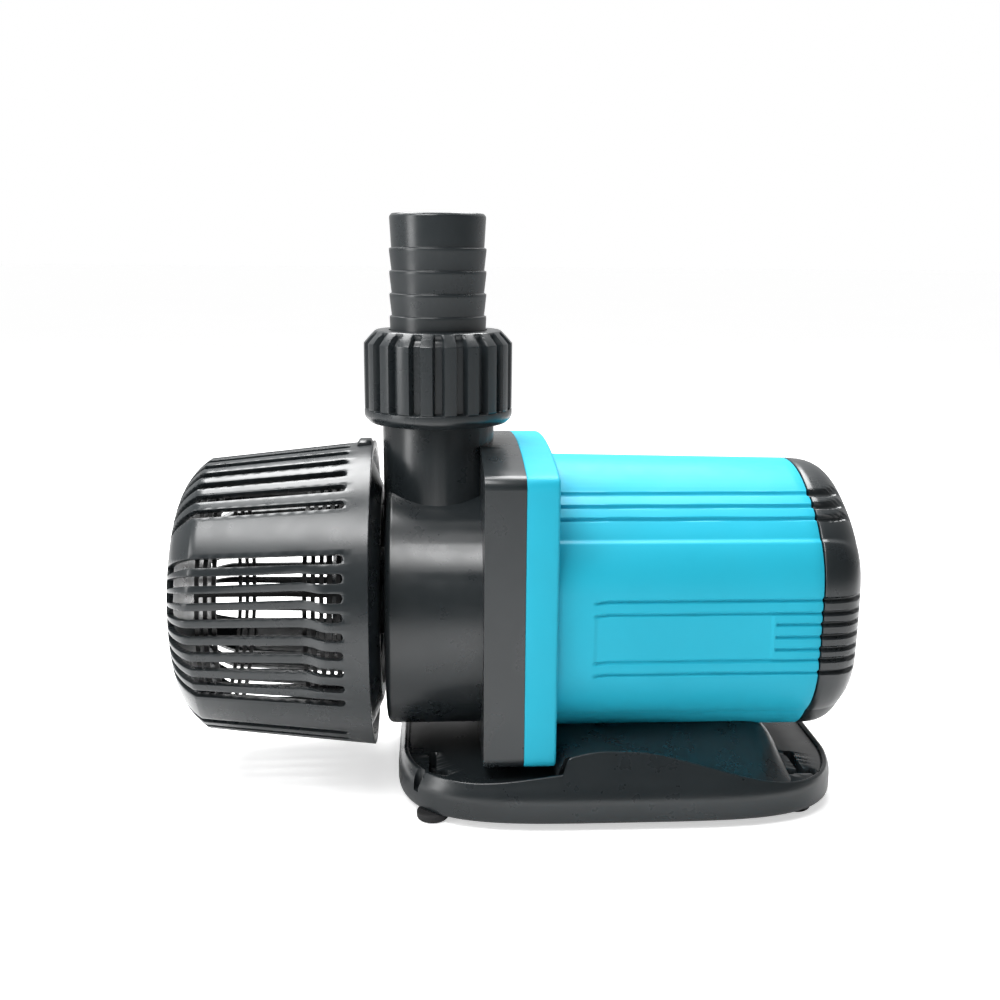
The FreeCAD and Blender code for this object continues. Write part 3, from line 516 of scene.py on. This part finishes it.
def resample(path, count):
    """Closed path cut into `count` equal steps."""
    n = len(path)
    lengths = [math.dist(path[i], path[(i + 1) % n]) for i in range(n)]
    total = sum(lengths)
    out, i, done = [], 0, 0.0
    for k in range(count):
        want = total * k / count
        while i < n - 1 and done + lengths[i] < want:
            done += lengths[i]
            i += 1
        t = (want - done) / lengths[i]
        a, b = path[i], path[(i + 1) % n]
        out.append((a[0] + (b[0] - a[0]) * t, a[1] + (b[1] - a[1]) * t))
    return out


def soften(path, passes):
    """Corners of an evenly cut closed path rounded by repeated averaging."""
    for _ in range(passes):
        n = len(path)
        path = [((path[i - 1][0] + 2 * path[i][0] + path[(i + 1) % n][0]) / 4,
                 (path[i - 1][1] + 2 * path[i][1] + path[(i + 1) % n][1]) / 4) for i in range(n)]
    return path


def offset(path, inset):
    """Closed path moved inwards, with the inside found from the path's own direction."""
    n = len(path)
    area = sum(path[i - 1][0] * path[i][1] - path[i][0] * path[i - 1][1] for i in range(n))
    side = 1 if area > 0 else -1
    out = []
    for i in range(n):
        dy = path[(i + 1) % n][0] - path[i - 1][0]
        dz = path[(i + 1) % n][1] - path[i - 1][1]
        length = math.hypot(dy, dz) or 1.0
        out.append((path[i][0] - side * dz / length * inset, path[i][1] + side * dy / length * inset))
    return out


def flange_path():
    half, side = FLANGE_W / 2, FLANGE_SIDES / 2
    low_z, high_z = FLANGE_Z - side, FLANGE_Z + side
    path = walk([(-half, low_z, -FLANGE_CROWN), (half, low_z, 0), (half, high_z, -FLANGE_CROWN),
                 (-half, high_z, 0)])
    return soften(resample(path, 480), 14)


def rounded_block(path, x0, x1, front, rear, name, material):
    """Closed block along x with its front and rear edges rounded by the radii given."""
    rings = [[(x0, y, z) for y, z in offset(path, front + 1.0)]]
    for k in range(6):
        a = math.pi / 2 * k / 5
        ring = offset(path, front * (1 - math.sin(a)))
        rings.append([(x0 + front * (1 - math.cos(a)), y, z) for y, z in ring])
    for k in range(6):
        a = math.pi / 2 * (1 - k / 5)
        ring = offset(path, rear * (1 - math.sin(a)))
        rings.append([(x1 - rear * (1 - math.cos(a)), y, z) for y, z in ring])
    rings.append([(x1, y, z) for y, z in offset(path, rear + 1.0)])
    return grid(name, rings, material, caps=(True, True), smooth=50)


def motor_path(along):
    """Outline across the motor housing; its crown sinks from the flange (0) to the seam (1)."""
    right = [(y, z, -bulge) for y, z, bulge in SECTION]
    right[-1] = (*SECTION[-1][:2], -CROWN_RISE - CROWN_FALL * (1 - along))
    left = [(-SECTION[i][0], SECTION[i][1], -SECTION[i - 1][2] if i else 0.0)
            for i in reversed(range(len(SECTION)))]
    return soften(resample(walk(right + left), 1200), 3)


def grooves(x, inset):
    """Grooves at station x as (height, half width, depth); the long ones start by a droop, and
    all of them run out where the cap rounds off."""
    along = x - X_BODY
    cap = X_SEAM - 0.5 < x
    wide, deep = (1.0, 2.0) if cap else (0.62, 1.1)
    deep *= smoothstep(4.5, 1.5, inset)
    found = [(z, wide, deep * smoothstep(0.0, 2.0, along)) for z in UPPER_GROOVES]
    wide, deep = (1.15, 1.9) if cap else (0.8, 1.1)
    deep *= smoothstep(9.0, 4.0, inset)
    for rise in LONG_GROOVES:
        droop = 0.7 * (1 - smoothstep(13.5, 21.0, along))
        found.append((LABEL_Z + rise - droop, wide, deep * smoothstep(13.5, 16.5, along)))
    for rise in SHORT_GROOVES:
        found.append((LABEL_Z + rise, wide, deep * smoothstep(86.0, 87.5, along)))
    return found


def motor_ring(x, inset=0.0):
    """Outline of the housing or cap at x, with the grooves and label field sunk into it."""
    along = min(max((x - X_BODY) / (X_SEAM - X_BODY), 0.0), 1.0)
    path = motor_path(along)
    if inset > 1.0:
        path = soften(path, round(inset * 40))
    plain = offset(path, inset)
    sunk = grooves(x, inset)
    field = 0.35 * smoothstep(14.0, 16.0, x - X_BODY) * (1 - smoothstep(84.0, 86.0, x - X_BODY))
    inward = offset(path, inset + 1.0)
    ring = []
    for (y, z), (yi, zi) in zip(plain, inward):
        depth = 0.0
        if abs(y) > 20 and z > LABEL_Z - 25:
            for height, wide, deep in sunk:
                t = (z - height) / wide
                if abs(t) < 1:
                    depth = max(depth, deep * (1 - t * t) ** 0.6)
        if abs(z - LABEL_Z) < 9.8:
            depth = max(depth, field * smoothstep(9.8, 9.0, abs(z - LABEL_Z)))
        ring.append((x, y + (yi - y) * depth, z + (zi - z) * depth))
    return ring


def stations(*parts):
    """Increasing values from (start, end, steps) spans."""
    out = []
    for a, b, steps in parts:
        out += [a + (b - a) * k / steps for k in range(steps)]
    return out + [parts[-1][1]]


def motor_flange():
    block = rounded_block(flange_path(), X_JOINT + 0.05, X_BODY, 0.5, 1.3, "motor_flange", BLUE)
    return own(block, "pump", "blue_housing", "motor_housing")


def motor_body():
    xs = stations((X_BODY - 1.0, X_BODY + 3.0, 8), (X_BODY + 3.0, X_BODY + 13.0, 3),
                  (X_BODY + 13.0, X_BODY + 22.0, 24), (X_BODY + 22.0, X_BODY + 84.0, 8),
                  (X_BODY + 84.0, X_BODY + 88.0, 14), (X_BODY + 88.0, X_SEAM - 0.7, 4))
    rings = [motor_ring(x) for x in xs]
    rings.append(motor_ring(X_SEAM - 0.35, 0.15))
    rings.append(motor_ring(X_SEAM - 0.2, 0.5))
    rings.append(motor_ring(X_SEAM - 0.2, 2.4))
    body = grid("motor_body", rings, BLUE, caps=(True, True), smooth=50)
    return own(body, "pump", "blue_housing", "motor_housing")


def cap_gasket():
    """Rubber ring in the seam, just inside the housing's skin."""
    outer, inner = offset(motor_path(1.0), 2.4), offset(motor_path(1.0), 3.8)
    rings = [[(x, y, z) for y, z in path] for x, path in
             ((X_SEAM - 1.2, inner), (X_SEAM - 1.2, outer), (X_SEAM, outer), (X_SEAM, inner))]
    ring = grid("cap_gasket_ring", rings, RUBBER, loop=True)
    return own(ring, "pump", "rubber", "cap_gasket")


CAP_ROUND = ((0.25, 0.5), (0.4, 0.2), (0.8, 0.0), (3.0, 0.1), (6.0, 0.4), (8.5, 0.9), (10.5, 1.6),
             (12.5, 2.7), (14.2, 4.1), (15.7, 5.8), (16.9, 7.6), (17.8, 9.4), (18.5, 11.2),
             (18.85, 12.8), (19.0, 14.2))
CAP_SCREWS = ((36.0, 105.3), (36.0, 49.3))
GLAND_Z = 46.0


def rear_cap():
    rings = [motor_ring(X_SEAM + 0.25, 2.4)]
    rings += [motor_ring(X_SEAM + x, inset) for x, inset in CAP_ROUND]
    rings.append(motor_ring(X_SEAM + CAP_ROUND[-1][0], CAP_ROUND[-1][1] + 1.0))
    cap = grid("rear_cap_shell", rings, CHARCOAL, caps=(True, True), smooth=45)
    tools = [rod("gland_pocket", (X_REAR - 8.0, 0.0, GLAND_Z), 11.6, 12.0)]
    for y, z in CAP_SCREWS:
        for side in (-1, 1):
            tools.append(rod("screw_pocket", (X_REAR - 5.5, side * y, z), 3.7, 12.0))
    for tool in tools:
        carve(cap, tool)
    shade(cap, 45)
    return own(cap, "pump", "charcoal", "rear_cap")


def rod(name, start, r, length, axis="x", turns=48):
    """Plain cylinder used as a cutting tool."""
    rings = []
    for d in (0.0, length):
        ring = []
        for k in range(turns):
            a = 2 * math.pi * k / turns
            u, v = r * math.cos(a), r * math.sin(a)
            if axis == "x":
                ring.append((start[0] + d, start[1] + u, start[2] + v))
            else:
                ring.append((start[0] + u, start[1] + v, start[2] + d))
        rings.append(ring)
    return grid(name, rings, CHARCOAL, caps=(True, True))


def block(name, corner0, corner1):
    """Plain box used as a cutting tool."""
    (x0, y0, z0), (x1, y1, z1) = corner0, corner1
    rings = [[(x0, y0, z), (x1, y0, z), (x1, y1, z), (x0, y1, z)] for z in (z0, z1)]
    return grid(name, rings, CHARCOAL, caps=(True, True))


def carve(piece, tool):
    """Cuts the tool out of the piece and removes the tool."""
    mod = piece.modifiers.new("cut", "BOOLEAN")
    mod.operation = "DIFFERENCE"
    mod.solver = "MANIFOLD"
    mod.object = tool
    bpy.context.view_layer.update()
    apply_modifiers(piece)
    bpy.data.objects.remove(tool)


# ------------------------------------------------------------------ base

BASE_FRONT, BASE_BACK = 17.5, 166.0        # ends, from the outlet's axis
BASE_HALF = 70.2
BASE_LOW = 3.4
BASE_BAND = 13.0
BASE_LEAN = 0.46           # lean of the upper wall, mm in per mm up
DRUM_R, DRUM_Z = 52.3, 74.8


def base_half_width(x, inset):
    """Half width of the barrel-shaped plan at x."""
    middle = OUTLET_X + (BASE_BACK - BASE_FRONT) / 2
    reach = (BASE_BACK + BASE_FRONT) / 2 + 0.6 - inset
    u = min(abs(x - middle) / reach, 1.0)
    return (BASE_HALF - inset) * (1 - u ** 4) ** 0.26


def base_plan(inset, count=560):
    """Closed (x, y) plan, evenly cut."""
    x0 = OUTLET_X - BASE_FRONT + inset
    x1 = OUTLET_X + BASE_BACK - inset
    side = []
    for k in range(161):
        x = (x0 + x1) / 2 - (x1 - x0) / 2 * math.cos(math.pi * k / 160)
        side.append((x, -base_half_width(x, inset)))
    path = side + [(x, -y) for x, y in reversed(side)]
    return soften(resample(path, count), 10)


def base_top(x):
    """Height of the side wall's rim, which rises in a long arc past the motor flange."""
    d = x - OUTLET_X
    plain = 18.6 - 2.8 * smoothstep(20.0, 150.0, d)
    rise = 12.4 * smoothstep(6.0, 66.0, d) * (1 - smoothstep(76.0, 152.0, d))
    under_flange = 0.42 + 0.58 * smoothstep(X_BODY + 0.4, X_BODY + 2.0, x)
    return plain + rise * under_flange


def tray_top(x):
    """Height of the tray inside the rim, which tips a little to the rear."""
    return 17.4 - 2.4 * smoothstep(0.0, 160.0, x - OUTLET_X)


def wall_inset(z):
    """How far the side wall has leaned in at height z, softly at first."""
    up = max(z - BASE_BAND + 2.0, 0.0)
    return BASE_LEAN * up * smoothstep(-3.0, 12.0, up)


def base_body():
    rings = []
    for z, inset in ((BASE_LOW, 5.0), (BASE_LOW, 1.3), (BASE_LOW + 0.3, 0.6), (BASE_LOW + 1.0, 0.15),
                     (BASE_LOW + 2.0, 0.0), (BASE_LOW + 5.0, 0.0)):
        rings.append([(x, y, z) for x, y in base_plan(inset)])
    outer = base_plan(0.0)
    for t in (0.0, 0.1, 0.2, 0.32, 0.45, 0.6, 0.8, 1.0):
        ring = []
        for (x, y), (xi, yi) in zip(outer, base_plan(1.0)):
            top = base_top(x) - 0.9
            z = BASE_BAND - 2.0 + (top - BASE_BAND + 2.0) * t
            lean = wall_inset(z)
            ring.append((x + (xi - x) * lean, y + (yi - y) * lean, z))
        rings.append(ring)
    rim = rings[-1]
    middle = OUTLET_X + (BASE_BACK - BASE_FRONT) / 2
    for inward, rise in ((0.2, 0.5), (0.6, 0.85), (1.1, 0.9), (1.6, 0.7), (2.0, 0.2), (2.3, -0.6)):
        ring = []
        for x, y, z in rim:
            length = math.hypot(x - middle, y)
            k = inward / length
            ring.append((x - (x - middle) * k, y - y * k, z + rise))
        rings.append(ring)
    tray = rings[-1]
    for t in (0.01, 0.15, 0.35, 0.6, 0.85):
        spread = [(middle + (x - middle) * (1 - t), y * (1 - t)) for x, y, z in tray]
        rings.append([(x, y, tray_top(x)) for x, y in spread])
    body = grid("base_tray", rings, CHARCOAL, caps=(True, True), smooth=40)
    flange_tool = rounded_block(offset(flange_path(), -0.25), X_FLANGE - 0.3, X_BODY + 0.3, 0.2, 0.2,
                                "flange_seat", CHARCOAL)
    carve(body, flange_tool)
    seat = offset(motor_path(0.0), -0.25)
    rings = [[(x, y, z) for y, z in seat] for x in (X_BODY - 1.0, X_REAR + 8.0)]
    carve(body, grid("housing_seat", rings, CHARCOAL, caps=(True, True)))
    for sx in (FOOT_FRONT, FOOT_BACK):
        for sy in (-1, 1):
            fixing_slot(body, OUTLET_X + sx, sy)
    bevel(body, 0.35, 2, 50)
    apply_modifiers(body)
    shade(body, 40)
    return own(body, "pump", "charcoal", "base_plate")


FOOT_FRONT, FOOT_BACK, SLOT_Y = -3.0, 148.5, 50.5
SLOT_R, SLOT_LONG, SLOT_SIDE = 2.0, 17.5, 5.2


def rubber_foot(x, y):
    """Round rubber foot with a bevelled sole and a dimple for the fixing screw."""
    profile = round_profile([(2.3, 0.9, 0), (2.9, 0.0, 0.3), (5.6, 0.0, 0.5), (6.5, 0.9, 0.5),
                             (6.5, 3.2, 0.4), (5.4, 3.6, 0.2), (2.3, 3.7, 0)], 0.3)
    rings = []
    for r, z in profile:
        rings.append([(OUTLET_X + x + r * math.cos(math.pi * j / 24), y + r * math.sin(math.pi * j / 24), z)
                      for j in range(48)])
    name = "rubber_foot_" + ("front" if x < 50 else "rear") + ("_left" if y < 0 else "_right")
    foot = grid(name, rings, RUBBER, smooth=45, loop=True)
    return own(foot, "pump", "rubber", "rubber_feet")


def fixing_slot(body, x, side):
    """Keyhole slot over a foot: two short arms and a long one inwards, with round ends."""
    y = side * SLOT_Y
    end = y - side * SLOT_LONG
    low_z, high_z = 10.0, 60.0
    w = SLOT_R * 0.8
    carve(body, block("slot_arms", (x - SLOT_SIDE, y - w, low_z), (x + SLOT_SIDE, y + w, high_z)))
    carve(body, block("slot_long", (x - w, min(y, end), low_z), (x + w, max(y, end), high_z)))
    for ex, ey in ((x - SLOT_SIDE, y), (x + SLOT_SIDE, y), (x, end)):
        carve(body, rod("slot_end", (ex, ey, low_z), SLOT_R + 0.5, high_z - low_z, "z"))


CRADLE_TOP = 31.8          # where the deck meets the housing's lower corner
CRADLE_END = 97.0          # from the flange to where the deck reaches the tray
CRADLE_FALL = 17.0         # length of its rounded rear end


def cradle(side):
    """Deck of the base between its rim and the housing's lower corner, falling at the rear."""
    x0, x1 = X_BODY + 0.5, X_BODY + CRADLE_END
    hug = sorted(((z, y) for y, z in offset(motor_path(0.5), -0.2) if y > 0 and z < 60.0))
    rings = []
    for x in stations((x0, x1 - CRADLE_FALL, 26), (x1 - CRADLE_FALL, x1 - 2.0, 14), (x1 - 2.0, x1, 8)):
        t = max(0.0, (x - x1 + CRADLE_FALL) / CRADLE_FALL)
        ends = math.sqrt(max(1 - t * t, 0.0)) * 0.998 + 0.002
        ground = tray_top(x) - 1.0
        top = ground + (CRADLE_TOP - ground) * ends
        rim = base_top(x) - 1.2
        edge = base_half_width(x, 0.0) - wall_inset(rim) - 2.4
        low_edge = ground + (rim - ground) * ends
        near = min(hug, key=lambda p: abs(p[0] - max(top, 29.3)))[1]
        ring = [(near - 6.0, ground - 3.0), (near - 6.0, min(top, 28.6)), (near, top)]
        for k in range(1, 13):
            u = k / 12
            sag = 1.6 * math.sin(math.pi * u) * ends
            ring.append((near + (edge - near) * u, top + (low_edge - top) * u ** 1.3 - sag))
        ring.append((edge, ground - 3.0))
        rings.append([(x, side * y, z) for y, z in ring])
    deck = grid("base_deck_" + ("left" if side < 0 else "right"), rings, CHARCOAL,
                caps=(True, True), smooth=45)
    return own(deck, "pump", "charcoal", "base_plate")


# ------------------------------------------------------------------ union nut and hose tail

NUT_R, NUT_TOP_R, NUT_RIBS = 31.0, 26.0, 20
NUT_RING = 5.6             # plain ring under the ribs
NUT_CHAMFER = 5.2
NUT_BORE = 24.15
NUT_LIP = 7.9
TAIL_R, TAIL_ROOT, TAIL_BORE = 20.0, 19.1, 16.2
TAIL_STEP, TAIL_STEPS, TAIL_FIRST = 9.12, 4, 13.9


def union_nut():
    ring_top = NUT_LOW + NUT_RING
    chamfer = NUT_TOP - NUT_CHAMFER
    recess = 2.7
    outer = [(NUT_BORE, NUT_LOW, 0.3), (NUT_R - 2.4, NUT_LOW, 0.8), (NUT_R - 0.1, NUT_LOW + 2.4, 1.2),
             (NUT_R - 0.1, ring_top - 0.2, 0.5), (NUT_R - 0.5, ring_top, 0.3)]
    body = [(NUT_R - 0.5, ring_top + 0.6 + k * (chamfer - ring_top - 1.2) / 14) for k in range(15)]
    top = [(NUT_R - 0.5, chamfer, 0.8), (NUT_TOP_R, NUT_TOP, 0.9), (TAIL_R + 0.5, NUT_TOP, 0.3)]
    profile = round_profile(outer + body + top, 0.5)
    inner = [(TAIL_R + 0.5, NUT_TOP - NUT_LIP), (NUT_BORE, NUT_TOP - NUT_LIP), (NUT_BORE, NUT_LOW)]
    profile = dense(profile, 1.2) + inner

    def ribbed(a, r, z):
        if r < TAIL_R + 1.0 or z < ring_top + 0.05:
            return r
        phase = (a * NUT_RIBS / (2 * math.pi)) % 1.0
        flank = abs(phase - 0.5) * 2                   # 0 in mid rib, 1 in mid groove
        dip = smoothstep(0.54, 0.68, flank)
        ends = smoothstep(ring_top, ring_top + 0.5, z) * smoothstep(NUT_TOP - 0.2, NUT_TOP - 3.2, z)
        crown = 0.5 * (1 - flank * flank * 0.9)
        return r - recess * dip * ends + (crown - 0.1) * ends * (1 - dip)

    nut = lathe_z("union_nut_ribbed", profile, CHARCOAL, turns=NUT_RIBS * 20, bend=ribbed, loop=True,
                  smooth=45)
    return own(nut, "nut", "charcoal", "union_nut")


def dense(profile, step):
    """Profile with long stretches cut into steps."""
    out = []
    for a, b in zip(profile, profile[1:]):
        pieces = max(1, math.ceil(math.dist(a, b) / step))
        out += [(a[0] + (b[0] - a[0]) * k / pieces, a[1] + (b[1] - a[1]) * k / pieces)
                for k in range(pieces)]
    return out + [profile[-1]]


def hose_tail():
    collar = low("hose_tail").z
    lip = NUT_TOP - NUT_LIP - 0.1
    points = [(TAIL_BORE, collar, 0), (NUT_BORE - 0.55, collar, 0.3), (NUT_BORE - 0.55, lip, 0.3),
              (TAIL_ROOT + 0.4, lip, 0.2)]
    first = TAIL_TOP - TAIL_FIRST - (TAIL_STEPS - 1) * TAIL_STEP
    for i in range(TAIL_STEPS):
        z = first + i * TAIL_STEP
        points += [(TAIL_R - 0.02, z - 1.0, 0.25), (TAIL_R - 0.02, z, 0.25), (TAIL_ROOT, z + 0.4, 0.15)]
    points += [(TAIL_R - 0.2, TAIL_TOP - 1.2, 0.5), (TAIL_R - 1.2, TAIL_TOP, 0.4),
               (TAIL_BORE + 0.8, TAIL_TOP, 0.4), (TAIL_BORE, TAIL_TOP - 0.8, 0.3),
               (TAIL_BORE, collar + 1.0, 0)]
    tail = lathe_z("hose_tail_barbed", round_profile(points, 0.3), CHARCOAL, turns=160, loop=True,
                   smooth=38)
    return own(tail, "hose_connector", "charcoal", "hose_tail")


# ------------------------------------------------------------------ pieces

def own(piece, body, slot, *replaced):
    for node in replaced:
        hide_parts(node)
    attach(piece, body)
    return piece


def soft_edges(node, width):
    """Rounded edges on a CAD node that is shown as it is."""
    piece = frame["nodes"][node]
    weld = piece.modifiers.new("weld", "WELD")
    weld.merge_threshold = 1e-5
    bevel(piece, width, 3, 40)


strainer_cage()
cage_tab()
motor_flange()
motor_body()
cap_gasket()
rear_cap()
base_body()
cradle(-1)
cradle(1)
union_nut()
hose_tail()
soft_edges("volute_housing", 0.8)
for foot_x, foot_y in ((-3.0, 54.5), (146.0, 51.0)):
    rubber_foot(foot_x, -foot_y)
    rubber_foot(foot_x, foot_y)


# ------------------------------------------------------------------ stage, light, camera

def soft_light(name, place, aim, size, power, size_y=None):
    data = bpy.data.lights.new(name, "AREA")
    data.shape = "RECTANGLE"
    data.size = size
    data.size_y = size_y or size
    data.energy = power
    lamp = bpy.data.objects.new(name, data)
    lamp.location = place
    lamp.rotation_euler = (Vector(aim) - Vector(place)).to_track_quat("-Z", "Y").to_euler()
    bpy.context.scene.collection.objects.link(lamp)
    return lamp


def floor():
    n = Nodes("pale_floor")
    n.link(n.tint(n.noise(3, 2.0), (0.94, 0.94, 0.94), (0.96, 0.96, 0.96)),
           n.shader.inputs["Base Color"])
    n.shader.inputs["Roughness"].default_value = 0.9
    n.shader.inputs["Specular IOR Level"].default_value = 0.1
    n.shader.inputs["Emission Color"].default_value = (1.0, 1.0, 1.0, 1.0)
    seen = n.add("ShaderNodeLightPath").outputs["Is Camera Ray"]
    n.link(n.span(seen, 0.0, 0.55), n.shader.inputs["Emission Strength"])
    bpy.ops.mesh.primitive_plane_add(size=40, location=(0, 0, 0))
    plane = bpy.context.object
    plane.name = "studio_floor"
    plane.data.materials.append(n.mat)


def camera():
    """Stands in front of the outlet, above the nut, looking down a little and slightly right."""
    pitch, yaw, roll = 0.2082, -0.057, 0.0074
    forward = Vector((-math.sin(yaw) * math.cos(pitch), math.cos(yaw) * math.cos(pitch),
                      -math.sin(pitch)))
    right = Vector((math.cos(yaw), math.sin(yaw), 0.0))
    up = right.cross(forward)
    right_rolled = math.cos(roll) * right + math.sin(roll) * up
    up_rolled = -math.sin(roll) * right + math.cos(roll) * up
    turn = Matrix((right_rolled, up_rolled, -forward)).transposed().to_4x4()
    data = bpy.data.cameras.new("camera")
    data.lens = 41.85
    data.sensor_width = 36.0
    data.clip_start = 0.01
    cam = bpy.data.objects.new("camera", data)
    place = Vector(((OUTLET_X - 1.56) * MM, -0.4881, 0.2225))
    cam.matrix_world = Matrix.Translation(place) @ turn
    bpy.context.scene.collection.objects.link(cam)
    bpy.context.scene.camera = cam


def world():
    made = bpy.data.worlds.new("studio")
    made.use_nodes = True
    tree = made.node_tree
    where = tree.nodes.new("ShaderNodeTexCoord")
    side = tree.nodes.new("ShaderNodeVectorMath")
    side.operation = "DOT_PRODUCT"
    side.inputs[1].default_value = Vector((0.40, -0.91, -0.05)).normalized()
    shade_off = tree.nodes.new("ShaderNodeMapRange")
    shade_off.interpolation_type = "SMOOTHSTEP"
    shade_off.inputs["From Min"].default_value = -0.1
    shade_off.inputs["From Max"].default_value = 0.75
    shade_off.inputs["To Min"].default_value = 0.6
    shade_off.inputs["To Max"].default_value = 0.1
    back = tree.nodes["Background"]
    tree.links.new(where.outputs["Generated"], side.inputs[0])
    tree.links.new(side.outputs["Value"], shade_off.inputs["Value"])
    seen = tree.nodes.new("ShaderNodeLightPath")
    choose = tree.nodes.new("ShaderNodeMix")
    choose.inputs["B"].default_value = 1.0
    tree.links.new(seen.outputs["Is Camera Ray"], choose.inputs["Factor"])
    tree.links.new(shade_off.outputs["Result"], choose.inputs["A"])
    tree.links.new(choose.outputs["Result"], back.inputs["Strength"])
    back.inputs["Color"].default_value = (1.0, 1.0, 1.0, 1.0)
    bpy.context.scene.world = made


floor()
world()
camera()
soft_light("overhead_back", (-0.05, 0.32, 0.8), (0.0, 0.0, 0.08), 0.8, 16.0, 0.5)
soft_light("overhead_front", (-0.28, -0.34, 0.75), (-0.05, 0.0, 0.08), 0.45, 4.5, 0.25)
soft_light("left_strip", (-0.95, -0.40, 0.42), (-0.02, 0.0, 0.1), 0.3, 4.5, 0.7)
bpy.context.scene.view_settings.view_transform = "Standard"
